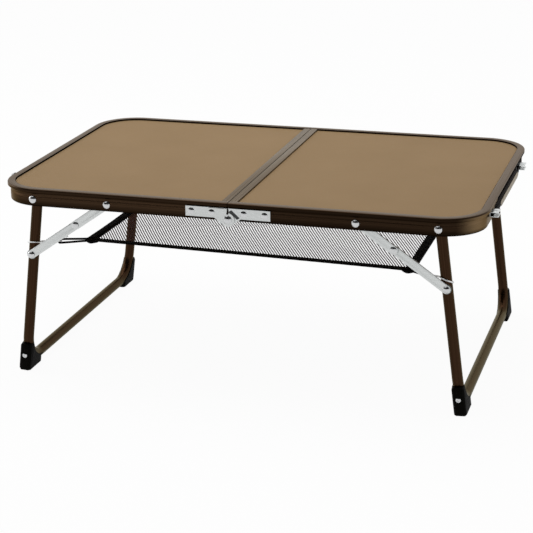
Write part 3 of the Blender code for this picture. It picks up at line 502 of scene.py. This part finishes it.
def slab(name, outline, depth_from, depth_to, end):
    """A flat plate: an (x, z) outline drawn out along Y between two distances from Y = 0."""
    outline = np.asarray(outline, float)
    depth = end * np.array([depth_from, depth_to])
    grid = np.stack([
        np.broadcast_to(outline[:, 0], (2, len(outline))),
        np.broadcast_to(depth[:, None], (2, len(outline))),
        np.broadcast_to(outline[:, 1], (2, len(outline))),
    ], axis=-1)
    return skin(name, grid)


joint_place = {joint["name"]: np.array(joint.get("pos_m", (0, 0, 0))) for joint in frame["joints"]}
hinge_z = joint_place["table_fold"][2]
seat_gap = 0.0003
wall_outer = half_depth - skirt_inset + seat_gap
leaf_face = wall_outer + 0.0015
leaf_middle = rail_bottom + 0.0013 + 0.0123 / 2
ear_lap = 0.0009
leaf_rivets = ((0.0195, 0.0041), (0.0450, 0.0041))
leaf_head_height = 0.0016
leaf_head_sink = 0.0005
pin_shank = 0.0025
pin_head = 0.0053
pin_head_height = 0.0024
step_sink = 0.0004
step_proud = 0.0002
step_slope = math.radians(42)
step_across = np.array([math.sin(step_slope), math.cos(step_slope)])
step_along = np.array([math.cos(step_slope), -math.sin(step_slope)])
step_corners = np.array([(0.0082, -0.0054), (0.0082, 0.0080), (0.0120, 0.0090), (0.0120, -0.0046)])
step_outline = (0.0, hinge_z) + step_corners[:, :1] * step_across + step_corners[:, 1:] * step_along
# Painted shade: a dark grey strip set into the leaves along the pressed step stands in for the step's
# shade.
step_shade_grey, shader = finish("shaded_step", (0.06, 0.063, 0.064), 0.5, 0.6)
tinted(shader, grain(shader, "Object", 900.0, 2.0), (0.050, 0.053, 0.054), (0.075, 0.078, 0.079))
for end_name, end in front_back:
    for side_name, side in halves:
        corner = side_name + "_" + end_name
        paint(frame["nodes"][corner + "_hinge_plate"], zinc)
        for number, (along, radius) in enumerate(leaf_rivets):
            centre = (side * along, leaf_middle)
            seat = leaf_face + (ear_lap if side < 0 and number == 0 else 0.0)
            sunk = leaf_face - leaf_head_sink
            foot = [(pole, sunk), (radius, sunk)]
            profile = np.concatenate([foot, dome(radius, seat, leaf_head_height)])
            head = turned(f"{corner}_hinge_leaf_rivet_{number}", profile, centre, end)
            paint(head, rivet_zinc)
            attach(head, side_name + "_half")
    # The dark strip of painted shade along the step.
    step = slab(end_name + "_hinge_step_shade", step_outline, leaf_face - step_sink, leaf_face + step_proud, end)
    paint(step, step_shade_grey)
    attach(step, "right_half")
    centre, (inner, outer) = middle(end_name + "_hinge_rivet")
    seat = outer - pin_head_height
    shank = [(pole, inner), (pin_shank, inner), (pin_shank, seat)]
    pin = turned(end_name + "_hinge_pin", np.concatenate([shank, dome(pin_head, seat, pin_head_height)]),
                 centre, end)
    paint(pin, rivet_zinc)
    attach(pin, "left_half")
    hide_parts(end_name + "_hinge_rivet")

# Rail rivets. A domed steel rivet through the skirt carries each leg, and another each stay;
# a collar inside the rail keeps the leg and the stay clear of the wall.
corners = [(f"{side_name}_{end_name}", side_name, side, end)
           for side_name, side in halves for end_name, end in front_back]
wall_inner = half_depth - web_inner - seat_gap
rail_head = 0.0046
rail_head_height = 0.0023
collar_radius = 0.0042
tail_height = 0.0014
rail_rivets = (("leg_pivot", 0.0025, 0.0040, 0.1808, 0.1855),
               ("stay_anchor", 0.0020, 0.0020, 0.1849, wall_inner))
for corner, side_name, side, end in corners:
    for kind, shank, tail, collar, collar_end in rail_rivets:
        cad_node = f"{corner}_{kind}_rivet"
        centre, (inner, outer) = middle(cad_node)
        tail_end = inner + tail_height
        profile = np.concatenate([
            [(pole, inner), (tail, inner), (tail, tail_end), (shank, tail_end)],
            [(shank, collar), (collar_radius, collar), (collar_radius, collar_end), (shank, collar_end)],
            [(shank, wall_outer)],
            dome(rail_head, wall_outer, rail_head_height),
        ])
        rivet = turned(f"{corner}_{kind}_head", profile, centre, end)
        paint(rivet, rivet_zinc)
        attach(rivet, side_name + "_half")
        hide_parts(cad_node)

# Legs. Each is one bronze-anodised tube bent to a U, which stands splayed outwards on two
# moulded shoes and swings up under the top on its rail rivets.
leg_bronze = bronze("bronze_tube", "UV", coarse_lines, (0.026, 0.0125, 0.0062), (0.050, 0.026, 0.0138),
                    (0.82, 0.79, 0.66))
leg_low, leg_high = (np.array(corner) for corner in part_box("right_leg_tube"))
pivot_x, pivot_z = joint_place["right_leg_fold"][[0, 2]]
tube_radius = 0.0065
bend_radius = 0.036
leg_y = leg_high[1] - tube_radius
leg_rivet = joint_place["right_lower_link_fold"]
splay = math.atan2(leg_rivet[0] - pivot_x, pivot_z - leg_rivet[2])
crossbar = (pivot_z - leg_low[2] - tube_radius) / math.cos(splay)
leg_steps = 12
bar_steps = 10
bend_steps = 20
cap_steps = 6


def tube(name, path, radius, sides=24, sharp=50, ring_sizes=None):
    """A round bar of that radius along a smooth path: each ring stands square to the path, and
    keeps the turn of the ring before it. ring_sizes gives the rings' radii where they differ."""
    path = np.asarray(path, float)
    along = np.gradient(path, axis=0)
    along /= np.linalg.norm(along, axis=1)[:, None]
    normal = np.zeros_like(path)
    start = np.array(Vector(along[0]).orthogonal().normalized())
    for row, tangent in enumerate(along):
        start = start - tangent * (start @ tangent)
        start /= np.linalg.norm(start)
        normal[row] = start
    across = np.cross(along, normal)
    angle = np.linspace(0, 2 * np.pi, sides, endpoint=False)[:, None]
    size = np.broadcast_to(radius if ring_sizes is None else ring_sizes, (len(path),))[:, None, None]
    grid = path[:, None] + size * (np.cos(angle) * normal[:, None] + np.sin(angle) * across[:, None])
    return skin(name, grid, lengths(path), np.linspace(0, 2 * np.pi, sides + 1) * radius, sharp=sharp)


def leg_place(points, side):
    """Takes points in a leg's own frame, from its pivot along -Z, to the splayed leg."""
    x, y, z = np.moveaxis(np.asarray(points, float), -1, 0)
    lean = side * splay
    return np.stack([side * pivot_x + x * math.cos(lean) - z * math.sin(lean), y,
                     pivot_z + x * math.sin(lean) + z * math.cos(lean)], axis=-1)


knee = crossbar - bend_radius
inner_y = leg_y - bend_radius
cap_angle = np.radians(np.linspace(82, 15, cap_steps))
cap_rise = tube_radius * np.sin(cap_angle)
cap_size = tube_radius * np.cos(cap_angle)
leg_line = np.concatenate([
    np.stack([np.full(cap_steps, -leg_y), cap_rise], axis=1),
    np.stack([np.full(leg_steps, -leg_y), np.linspace(0, -knee, leg_steps + 1)[:-1]], axis=1),
    arc((-inner_y, -knee), bend_radius, 180, 270, bend_steps),
    np.stack([np.linspace(-inner_y, inner_y, bar_steps + 2)[1:-1], np.full(bar_steps, -crossbar)], axis=1),
    arc((inner_y, -knee), bend_radius, 270, 360, bend_steps),
    np.stack([np.full(leg_steps, leg_y), np.linspace(-knee, 0, leg_steps + 1)[1:]], axis=1),
    np.stack([np.full(cap_steps, leg_y), cap_rise[::-1]], axis=1),
])
ring_size = np.concatenate([cap_size, np.full(len(leg_line) - 2 * cap_steps, tube_radius), cap_size[::-1]])
for side_name, side in halves:
    line = leg_place(np.stack([np.zeros(len(leg_line)), leg_line[:, 0], leg_line[:, 1]], axis=1), side)
    leg = tube(side_name + "_leg", line, tube_radius, ring_sizes=ring_size)
    paint(leg, leg_bronze)
    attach(leg, side_name + "_leg")
    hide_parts(side_name + "_leg_tube")

# Shoes. Black moulded plastic clips over each bend, flat underneath, with a rounded outer corner,
# and one pan-head screw on its outer face holds it to the tube.
shoe_black, shader = finish("black_shoe", (0.002, 0.0018, 0.0016), 0.55, specular=0.045)
shader.inputs["Specular Tint"].default_value = (1.0, 0.93, 0.78, 1.0)
moulded = grain(shader, "Object", 700.0, 3.0)
tinted(shader, moulded, (0.0010, 0.0009, 0.0008), (0.0030, 0.0027, 0.0024))
roughened(shader, moulded, 0.5, 0.7)
bumped(shader, moulded, 0.00006, 0.6)
shoe_edge = 0.0006
screw_shank = 0.0014
screw_head = 0.0030
screw_head_height = 0.0012
for corner, side_name, side, end in corners:
    shoe = rounded_copy(corner + "_shoe", corner + "_foot", shoe_edge, 3)
    shoe_points = np.empty((len(shoe.data.vertices), 3))
    shoe.data.vertices.foreach_get("co", shoe_points.ravel())
    shoe_points[:, 2] = np.maximum(shoe_points[:, 2], 0.0)
    shoe.data.vertices.foreach_set("co", shoe_points.ravel())
    paint(shoe, shoe_black)
    centre, (inner, outer) = middle(corner + "_foot_screw")
    seat = outer - screw_head_height
    shank = [(pole, inner), (screw_shank, inner), (screw_shank, seat)]
    rounding = dome(screw_head, seat, screw_head_height)[:6]
    socket = [(0.0010, outer - 0.0002), (0.0009, outer - 0.0010), (pole, outer - 0.0011)]
    screw = turned(corner + "_shoe_screw", np.concatenate([shank, rounding, socket]), centre, end)
    paint(screw, rivet_zinc)
    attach(screw, side_name + "_leg")
    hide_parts(corner + "_foot_screw")

# Stays. Two flat steel links, joined by a low rivet, hold each leg open against the rail and
# break at that rivet when the leg is folded. Each is punched strip with a soft edge, and a thin
# dull washer keeps it off the leg.
washer_grey, shader = finish("dull_washer", (0.16, 0.18, 0.17), 0.45, 0.8)
tinted(shader, grain(shader, "Object", 700.0, 2.0), (0.13, 0.15, 0.14), (0.19, 0.21, 0.20))
washer_radius = 0.0061
washer_bore = 0.0021
washer_from = 0.18055
washer_to = 0.18085
stay_shank = 0.0020
stay_head = 0.0043
stay_rivets = (("stay_joint", "upper_links", 0.0014), ("leg", "leg", 0.0022))
for corner, side_name, side, end in corners:
    for link in ("upper_link", "lower_link"):
        strap = rounded_copy(f"{corner}_{link}_strap", f"{corner}_{link}", soft_edge)
        paint(strap, zinc)
    for kind, body, height in stay_rivets:
        cad_node = f"{corner}_{kind}_rivet"
        centre, (inner, outer) = middle(cad_node)
        seat = outer - height
        shank = [(pole, inner), (stay_shank, inner), (stay_shank, seat)]
        rivet = turned(f"{corner}_{kind}_head", np.concatenate([shank, dome(stay_head, seat, height)]),
                       centre, end)
        paint(rivet, rivet_zinc)
        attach(rivet, f"{side_name}_{body}")
        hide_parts(cad_node)
    ring = [(washer_bore, washer_from), (washer_radius, washer_from), (washer_radius, washer_to),
            (washer_bore, washer_to), (washer_bore, washer_from)]
    washer = turned(corner + "_leg_washer", ring, centre, end)
    paint(washer, washer_grey)
    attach(washer, side_name + "_leg")

# Net shelf. A knitted black net, cut to a rectangle and bound all round with a folded black tape,
# hangs under the top. Its yarns run one way and are tied by short cross threads; it is slack in
# the middle, and the whole of it bends as the top is closed.
net_low, net_high = (np.array(corner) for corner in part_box("shelf_net"))
net_x = net_high[0]
net_y = net_high[1]
net_z = (net_low[2] + net_high[2]) / 2
net_drop = 0.0009
net_lean = 0.0026
net_sag = 0.0020
edge_draw = 0.004
side_draw = 0.010
ridge_width = 0.010
ridge_height = 0.0016
dip_width = 0.016
dip_depth = 0.0020
tape_width = 0.012
yarn_pitch = 0.0037
yarn_lean = -0.53
yarn_spread = 0.4
yarn_width = 0.00145
yarn_thickness = 0.0004
yarn_points = 26
thread_step = 0.0058
thread_width = 0.0006
net_black, shader = finish("black_net_yarn", (0.085, 0.036, 0.051), 0.8, specular=0.2)
tinted(shader, grain(shader, "Object", 1800.0, 2.0), (0.062, 0.026, 0.037), (0.108, 0.046, 0.065))


def hang(x, y):
    """Where a point of the flat net comes to hang: the left edge draws in between its corners, the
    middle sags by a square law both ways, the net is a little lower to the right, and two slack
    folds cross it, a ridge and a dip, each a soft bump over the distance from a slanting line."""
    u = x / net_x
    v = y / net_y
    drawn_x = x + edge_draw * (1 - v * v) * (1 - u) / 2
    drawn_y = y * (1 - side_draw * (1 - u * u))
    z = net_z - net_drop - net_lean * u - net_sag * (1 - u * u) * (1 - v * v)
    from_ridge = (y + 0.003 - 0.34 * x) / ridge_width
    from_dip = (y + 0.070 + 0.25 * (x - 0.150)) / dip_width
    edge = (1 - u ** 4) * (1 - v ** 4)
    ridge = ridge_height * np.exp(-from_ridge ** 2)
    z = z + edge * (ridge - dip_depth * np.exp(-from_dip ** 2) * (u > 0) * u)
    return np.stack([drawn_x, drawn_y, z], axis=-1)


room_x = net_x - tape_width * 0.6
room_y = net_y - tape_width * 0.6
overhang = room_y * 0.7
start = np.arange(-room_x - overhang, room_x + overhang, yarn_pitch)
lean = yarn_lean + yarn_spread * start
first = np.maximum(-room_y, (room_x - start) / lean)
last = np.minimum(room_y, (-room_x - start) / lean)
kept = last - first > yarn_pitch
start, lean, first, last = start[kept], lean[kept], first[kept], last[kept]
y = first[:, None] + (last - first)[:, None] * np.linspace(0, 1, yarn_points)
line = hang(start[:, None] + lean[:, None] * y, y)
slant = np.hypot(lean, 1.0)
across = np.stack([1 / slant, -lean / slant, np.zeros_like(lean)], axis=1)
along = np.stack([lean / slant, 1 / slant, np.zeros_like(lean)], axis=1)
upright = np.broadcast_to((0.0, 0.0, 1.0), across.shape)
flat_ring = np.stack([across * yarn_width / 2, upright * yarn_thickness / 2,
                      -across * yarn_width / 2, -upright * yarn_thickness / 2], axis=1)
yarns = line[:, :, None] + flat_ring[:, None]
index = np.arange(yarns.size // 3).reshape(yarns.shape[:3])
beside = np.roll(index, -1, axis=2)
yarn_faces = np.concatenate([
    np.stack([index[:, :-1], beside[:, :-1], beside[:, 1:], index[:, 1:]], axis=-1).reshape(-1, 4),
    index[:, 0],
    index[:, -1, ::-1],
])
level = np.arange(-room_y, room_y, thread_step * 0.88)
low_y = level[None] + thread_step * 0.44 * (np.arange(len(start)) % 2)[:, None]
low_x = start[:, None] + lean[:, None] * low_y
gap = across * (yarn_pitch / slant)[:, None]
far_x = low_x + gap[:, :1]
far_y = low_y + gap[:, 1:2]
inside = (np.abs(low_x) < room_x) & (np.abs(far_x) < room_x) & (far_y < room_y)
heart = hang((low_x + far_x)[inside] / 2, (low_y + far_y)[inside] / 2)
reach = (yarn_pitch / slant / 2 + yarn_width * 0.4)[:, None]
spindle = np.stack([-across * reach, across * reach,
                    along * thread_width / 2, upright * yarn_thickness / 3,
                    -along * thread_width / 2, -upright * yarn_thickness / 3], axis=1)
threads = heart[:, None] + spindle[np.nonzero(inside)[0]]
pattern = np.array([(0, 3, 2), (0, 4, 3), (0, 5, 4), (0, 2, 5),
                    (1, 2, 3), (1, 3, 4), (1, 4, 5), (1, 5, 2)])
thread_faces = (np.arange(len(heart))[:, None, None] * 6 + pattern).reshape(-1, 3) + index.size
mesh = bpy.data.meshes.new("net_mesh")
mesh.from_pydata(np.concatenate([yarns.reshape(-1, 3), threads.reshape(-1, 3)]).tolist(), [],
                 yarn_faces.tolist() + thread_faces.tolist())
face_outwards(mesh)
net = placed("net_mesh", mesh)
paint(net, net_black)

tape_black, shader = finish("black_tape", (0.003, 0.0026, 0.003), 0.9, specular=0.08)
rib = grain(shader, "UV", (1500.0, 300.0, 1.0), 2.0)
tinted(shader, rib, (0.0015, 0.0013, 0.0015), (0.006, 0.005, 0.006))
bumped(shader, rib, 0.00015, 0.7)
tape_round = 0.004
tape_half = 0.0009
line_x = net_x - tape_width / 2
line_y = net_y - tape_width / 2
edge_x = np.linspace(-line_x + tape_round, line_x - tape_round, 60)
edge_y = np.linspace(-line_y + tape_round, line_y - tape_round, 40)
tape_line = np.concatenate([
    np.stack([edge_x, np.full(60, -line_y)], axis=1),
    arc((line_x - tape_round, -line_y + tape_round), tape_round, -90, 0, 6)[1:-1],
    np.stack([np.full(40, line_x), edge_y], axis=1),
    arc((line_x - tape_round, line_y - tape_round), tape_round, 0, 90, 6)[1:-1],
    np.stack([edge_x[::-1], np.full(60, line_y)], axis=1),
    arc((-line_x + tape_round, line_y - tape_round), tape_round, 90, 180, 6)[1:-1],
    np.stack([np.full(40, -line_x), edge_y[::-1]], axis=1),
    arc((-line_x + tape_round, -line_y + tape_round), tape_round, 180, 270, 6)[1:-1],
])
tape_line = np.concatenate([tape_line, tape_line[:1]])
forward = np.gradient(tape_line, axis=0)
forward[0] = forward[-1] = (1.0, 0.0)
forward /= np.linalg.norm(forward, axis=1)[:, None]
outward = np.stack([forward[:, 1], -forward[:, 0]], axis=1)
run = lengths(tape_line)


def blunted(wave, power):
    """A sine or cosine with its sign kept and its size raised to a power, which blunts a circle."""
    return np.sign(wave) * np.abs(wave) ** power


fold = np.linspace(0, 2 * np.pi, 16, endpoint=False)
broad = blunted(np.cos(fold), 0.6) * tape_width / 2
thick = blunted(np.sin(fold), 0.7) * tape_half
pucker = 1 + 0.15 * np.sin(run * 420) * np.sin(run * 97)
hem = np.abs(outward[:, 0])
laid = tape_line[:, None] + outward[:, None] * broad[None, :, None]
grid = hang(laid[..., 0], laid[..., 1])
grid[..., 2] += thick * (pucker + 1.4 * hem)[:, None]
tape = skin("net_tape", grid, run, np.append(fold, 2 * np.pi) / np.pi * tape_width, caps=False, sharp=80)
seal = bmesh.new()
seal.from_mesh(tape.data)
bmesh.ops.remove_doubles(seal, verts=seal.verts, dist=1e-6)
seal.to_mesh(tape.data)
seal.free()
paint(tape, tape_black)


def pad(name, centre, long_way, sizes):
    """A soft flat lump: a ball with blunted sides, drawn out to three half sizes along long_way,
    square to it, and upright."""
    round_it = np.linspace(0, 2 * np.pi, 24, endpoint=False)
    rise = np.radians(np.linspace(-88, 88, 13))[:, None]
    ring = np.cos(rise) ** 0.35
    long_way = np.append(long_way, 0.0)
    square = np.cross((0.0, 0.0, 1.0), long_way)
    grid = (centre + sizes[0] * (ring * blunted(np.cos(round_it), 0.5))[..., None] * long_way
            + sizes[1] * (ring * blunted(np.sin(round_it), 0.5))[..., None] * square)
    grid[..., 2] += sizes[2] * np.sin(rise)
    return skin(name, grid, np.arange(13) * 0.001, np.arange(25) * 0.001, sharp=80)


pad_sizes = (0.0075, 0.0085, 0.0026)
pad_inset = 0.001
pad_drop = 0.0012
corner_pads = []
for corner, side_name, side, end in corners:
    place = hang(np.array(side * (line_x - pad_inset)), np.array(end * (line_y - pad_inset)))
    tab = pad(corner + "_net_tab", place - (0.0, 0.0, pad_drop), np.array([side, end]) / math.sqrt(2),
              pad_sizes)
    paint(tab, tape_black)
    corner_pads.append(tab)
for cloth in (net, tape, *corner_pads):
    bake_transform(cloth)
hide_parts("shelf_net")

# Hooks and ties. A bright wire clipped round each leg ends in an eye. A loose wire link hangs in
# that eye, and a doubled black elastic cord runs from the net's corner through the link and back.
hook_reach = {"left": 0.060, "right": 0.0645}
hook_lift = {"left": 0.08, "right": 0.36}
hook_tilt = 0.30
hook_gap = 0.0003
wire = 0.0020
arm = 0.016
eye_radius = 0.0026
cord = 0.0027
loop_half = 0.0023
pinch_half = 0.0014
knot_inset = 0.004
link_lengths = {"left": 0.024, "right": 0.036}
link_half = 0.0013
link_wire = 0.0011
elastic, shader = finish("black_elastic", (0.003, 0.003, 0.003), 0.85, specular=0.05)
braid = grain(shader, "UV", (1600.0, 1600.0, 1.0), 2.0)
tinted(shader, braid, (0.0015, 0.0015, 0.0015), (0.005, 0.0045, 0.005))
bumped(shader, braid, 0.0001, 0.6)


def smooth(points, count):
    """A Catmull-Rom curve through the points, at count even steps of its parameter."""
    points = np.asarray(points, float)
    padded = np.concatenate([2 * points[:1] - points[1:2], points, 2 * points[-1:] - points[-2:-1]])
    where = np.linspace(0, len(points) - 1, count)
    cell = np.minimum(where.astype(int), len(points) - 2)
    t = (where - cell)[:, None]
    a, b, c, d = (padded[cell + shift] for shift in range(4))
    return 0.5 * (2 * b + (c - a) * t + (2 * a - 5 * b + 4 * c - d) * t ** 2
                  + (3 * b - a - 3 * c + d) * t ** 3)


for corner, side_name, side, end in corners:
    along_leg = hook_reach[side_name]
    axis = np.array([side * (pivot_x + along_leg * math.sin(splay)), end * leg_y,
                     pivot_z - along_leg * math.cos(splay)])
    aim = np.array([0.0, -end, 0.0])
    beside = np.cross(aim, (0.0, 0.0, 1.0))
    ring = tube_radius + hook_gap + wire / 2
    turn = np.radians(np.linspace(40, 345, 35))[:, None]
    round_leg = axis + ring * (np.cos(turn) * aim + np.sin(turn) * beside)
    lead = axis + aim * (ring + 2 * wire)
    eye = axis + aim * arm
    turn = np.radians(np.arange(180, 481, 20))[:, None]
    round_eye = eye + eye_radius * (np.cos(turn) * aim + np.sin(turn) * beside)
    hook_line = np.concatenate([round_leg, lead[None], round_eye])
    hook_line[:, 2] -= side * hook_lift[side_name] * (hook_line[:, 0] - axis[0])
    hook_line[:, 2] += end * hook_tilt * (hook_line[:, 1] - axis[1])
    hook = tube(corner + "_hook", smooth(hook_line, 150), wire / 2, 10)
    paint(hook, rivet_zinc)
    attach(hook, side_name + "_leg")
    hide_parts(corner + "_net_hook")
    eye[2] -= hook_tilt * arm
    knot = hang(np.array(side * (net_x - knot_inset)), np.array(end * (net_y - knot_inset)))
    along = (eye - knot) / np.linalg.norm(eye - knot)
    level = np.cross(along, (0.0, 0.0, 1.0))
    level /= np.linalg.norm(level)
    across = np.cross(level, along)
    link_length = link_lengths[side_name]
    link_from = eye - along * link_length
    turn_at = link_from - along * (loop_half - cord / 2)
    share = np.arange(7)[:, None] / 7
    ease = share * share * (3 - 2 * share)
    core = knot + (turn_at - knot) * share
    strand = across * (pinch_half + (loop_half - pinch_half) * ease)
    bight = np.radians(np.linspace(0, 180, 10))[:, None]
    loop = turn_at + loop_half * (across * np.cos(bight) + along * np.sin(bight))
    route = np.concatenate([core + strand, loop, (core - strand)[::-1]])
    tie = tube(corner + "_tie", smooth(route, 120), cord / 2, 10)
    paint(tie, elastic)
    turn = np.linspace(0, 2 * np.pi, 80)[:, None]
    share = (1 - np.cos(turn)) / 2
    width = link_half * blunted(np.sin(turn), 0.4)
    twist = share * np.pi / 2
    link_line = (link_from - along * cord + along * (link_length + cord + eye_radius * 0.3) * share
                 + width * (np.cos(twist) * level + np.sin(twist) * across))
    link = tube(corner + "_link", link_line, link_wire / 2, 8)
    paint(link, rivet_zinc)
    for piece in (tie, link):
        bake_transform(piece)
    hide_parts(corner + "_net_tie")

# Carrying handle. A black strap on the right end has a taupe cover moulded over the outside of its
# middle. Pins in its ends slide in two slotted steel brackets, so that it can be drawn out.
grip_taupe, shader = finish("taupe_grip", (0.36, 0.295, 0.205), 0.5)
fine = grain(shader, "Object", 800.0, 2.0)
tinted(shader, fine, (0.33, 0.268, 0.186), (0.39, 0.322, 0.226))
bumped(shader, fine, 0.00005, 0.5)
handle_low, handle_high = (np.array(corner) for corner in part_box("carrying_handle"))
handle_z = (handle_low[2] + handle_high[2]) / 2
handle_y = (handle_low[1] + handle_high[1]) / 2
grip_out = handle_high[0]
grip_in = grip_out - 0.0022
cover_in = grip_out - 0.0010
cover_tuck = 0.0003
tongue_in = handle_low[0]
tongue_out = tongue_in + 0.0036
grip_half = 0.071
grip_height = 0.0070
strap_half = 0.1145
strap_taper = 0.24
strap_slim = 0.0006
tongue_height = 0.0034


def bar_loft(name, stations, sides=20):
    """A bar along Y through stations (y, inner x, outer x, height), a rounded box at each."""
    y, inner, outer, height = np.array(stations).T[:, :, None]
    angle = np.linspace(0, 2 * np.pi, sides, endpoint=False)
    grid = np.stack([
        (inner + outer) / 2 + (outer - inner) / 2 * blunted(np.cos(angle), 0.55),
        np.broadcast_to(y, (len(y), sides)),
        handle_z + height / 2 * blunted(np.sin(angle), 0.55),
    ], axis=-1)
    return skin(name, grid, sharp=50)


reach = np.linspace(-1, 1, 41)
swell = np.sqrt(np.clip(1 - np.abs(reach) ** 24, 0.12, 1))
cover = bar_loft("handle_cover", np.stack([
    handle_y + reach * grip_half,
    np.full_like(reach, cover_in),
    np.full_like(reach, grip_out),
    grip_height * swell,
], axis=1))
paint(cover, grip_taupe)
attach(cover, "handle")
reach = np.linspace(-1, 1, 57)
out = np.clip((np.abs(reach) - grip_half / strap_half) / strap_taper, 0, 1)
ease = out * out * (3 - 2 * out)
strap = bar_loft("handle_strap", np.stack([
    handle_y + reach * (handle_high[1] - handle_y),
    grip_in + (tongue_in - grip_in) * ease,
    cover_in + cover_tuck + (tongue_out - cover_in - cover_tuck) * ease,
    grip_height - strap_slim + (tongue_height - grip_height + strap_slim) * ease,
], axis=1))
paint(strap, shoe_black)
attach(strap, "handle")
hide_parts("carrying_handle")
for end_name in ("front", "back"):
    bracket = rounded_copy(end_name + "_bracket", end_name + "_handle_bracket", soft_edge)
    paint(bracket, zinc)

# Closing clip. A springy bent strip of zinc-plated steel near the front of the left end snaps over
# the other half's lip when the table is closed. Its tip is curled in.
clip_low, clip_high = (np.array(corner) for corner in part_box("closing_clip"))
strip_half = 0.0006
clip_out = clip_low[0] + strip_half
clip_top = clip_high[2] - strip_half
clip_in = clip_high[0] - strip_half
clip_line = smooth([
    (clip_in, clip_low[2]), (clip_in, clip_low[2] + 0.003), (clip_in, clip_low[2] + 0.0052),
    (clip_in - 0.003, clip_low[2] + 0.0078), (clip_out, clip_low[2] + 0.0102),
    (clip_out, clip_top - 0.0020), (clip_out + 0.0003, clip_top - 0.0004), (clip_out + 0.0012, clip_top),
    (clip_out + 0.0024, clip_top),
], 40)
facing = np.gradient(clip_line, axis=0)
facing = np.stack([facing[:, 1], -facing[:, 0]], axis=1) / np.linalg.norm(facing, axis=1)[:, None]
clip_edge = np.concatenate([clip_line + facing * strip_half, (clip_line - facing * strip_half)[::-1]])
clip_edge = np.clip(clip_edge, clip_low[[0, 2]], clip_high[[0, 2]])
clip = slab("clip", clip_edge, clip_low[1], clip_high[1], 1)
paint(clip, rivet_zinc)
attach(clip, "left_half")
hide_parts("closing_clip")

# Studio. A pale floor and a white surround, a large soft lamp overhead and one on the left, and a
# dark curved screen behind the camera that the polished rivets show. The floor's shadow is faint.
floor_size = 12.0
floor_mirrored = 0.6
floor_looked_at = 0.955
surround = 0.6
floor_mesh = bpy.data.meshes.new("studio_floor")
floor_mesh.from_pydata([(-floor_size, -floor_size, 0), (floor_size, -floor_size, 0),
                        (floor_size, floor_size, 0), (-floor_size, floor_size, 0)], [], [(0, 1, 2, 3)])
floor = placed("studio_floor", floor_mesh)
floor_white, shader = finish("studio_white", (0.9, 0.9, 0.9), 0.9, specular=0.0)
tree = floor_white.node_tree
ray = node(tree, "LightPath").outputs
mirrored = reckon(tree, "MAXIMUM", ray["Is Glossy Ray"], ray["Is Transmission Ray"])
share = reckon(tree, "MAXIMUM", reckon(tree, "MULTIPLY", mirrored, floor_mirrored),
               reckon(tree, "MULTIPLY", ray["Is Camera Ray"], floor_looked_at))
white = node(tree, "Emission", Strength=1.0)
mix = node(tree, "MixShader")
tree.links.new(share, mix.inputs["Fac"])
tree.links.new(shader.outputs["BSDF"], mix.inputs[1])
tree.links.new(white.outputs["Emission"], mix.inputs[2])
tree.links.new(mix.outputs["Shader"], tree.nodes["Material Output"].inputs["Surface"])
floor_mesh.materials.append(floor_white)

world = bpy.data.worlds.new("white_surround")
bpy.context.scene.world = world
world.use_nodes = True
tree = world.node_tree
ray = node(tree, "LightPath").outputs
seen = reckon(tree, "MAXIMUM", ray["Is Camera Ray"], ray["Is Glossy Ray"])
seen = reckon(tree, "MAXIMUM", seen, ray["Is Transmission Ray"])
strength = node(tree, "MapRange", To_Min=surround, To_Max=1.0)
tree.links.new(seen, strength.inputs["Value"])
tree.links.new(strength.outputs["Result"], tree.nodes["Background"].inputs["Strength"])
tree.nodes["Background"].inputs["Color"].default_value = (1.0, 1.0, 1.0, 1.0)

screen_radius = 2.7
screen_bottom = 0.5
screen_turn = np.radians(np.linspace(-70, 70, 29))[:, None]
screen_top = 3.7 + 1.3 * np.tanh((screen_turn + 0.35) / 0.20)
screen_grid = np.stack([
    np.broadcast_to(screen_radius * np.sin(screen_turn), (29, 2)),
    np.broadcast_to(-screen_radius * np.cos(screen_turn), (29, 2)),
    np.concatenate([np.full((29, 1), screen_bottom), screen_top], axis=1),
], axis=-1)
screen = skin("studio_screen", screen_grid, around=False, caps=False)
screen.data.materials.append(finish("studio_dark", (0.03, 0.03, 0.03), 0.9)[0])


def soft_lamp(name, place, aim, size, power):
    """A square area lamp at place that faces aim."""
    lamp = bpy.data.lights.new(name, "AREA")
    lamp.shape = "SQUARE"
    lamp.size = size
    lamp.energy = power
    holder = placed(name, lamp)
    holder.location = place
    holder.rotation_euler = (Vector(aim) - Vector(place)).to_track_quat("-Z", "Y").to_euler()


soft_lamp("lamp_overhead", (-0.3, 0.2, 1.9), (0.0, 0.0, 0.2), 1.6, 17.5)
soft_lamp("lamp_left", (-2.4, 0.2, 0.9), (0.0, 0.0, 0.15), 1.1, 10.0)

# Camera. It stands to the front right, a little above the table top, with a long lens; its shift
# puts the table where the photograph has it.
azimuth = math.radians(16.581)
elevation = math.radians(17.975)
roll = math.radians(-0.691)
target = np.array([0.0, 0.0, 0.130])
distance = 2.07228
focal_pixels = 1598.04
shift_pixels = (-8.07, -20.13)
frame_pixels = 533
sensor = 36.0
back = np.array([math.sin(azimuth) * math.cos(elevation), -math.cos(azimuth) * math.cos(elevation),
                 math.sin(elevation)])
right = np.cross((0.0, 0.0, 1.0), back)
right /= np.linalg.norm(right)
up = np.cross(back, right)
axes = np.stack([math.cos(roll) * right + math.sin(roll) * up,
                 math.cos(roll) * up - math.sin(roll) * right, back])
lens = bpy.data.cameras.new("camera")
lens.sensor_width = sensor
lens.lens = focal_pixels / frame_pixels * sensor
lens.shift_x = shift_pixels[0] / frame_pixels
lens.shift_y = shift_pixels[1] / frame_pixels
lens.clip_start = 0.05
camera = placed("camera", lens)
camera.matrix_world = Matrix.Translation(target + distance * back) @ Matrix(axes.T.tolist()).to_4x4()
bpy.context.scene.camera = camera
bpy.context.scene.view_settings.view_transform = "Standard"
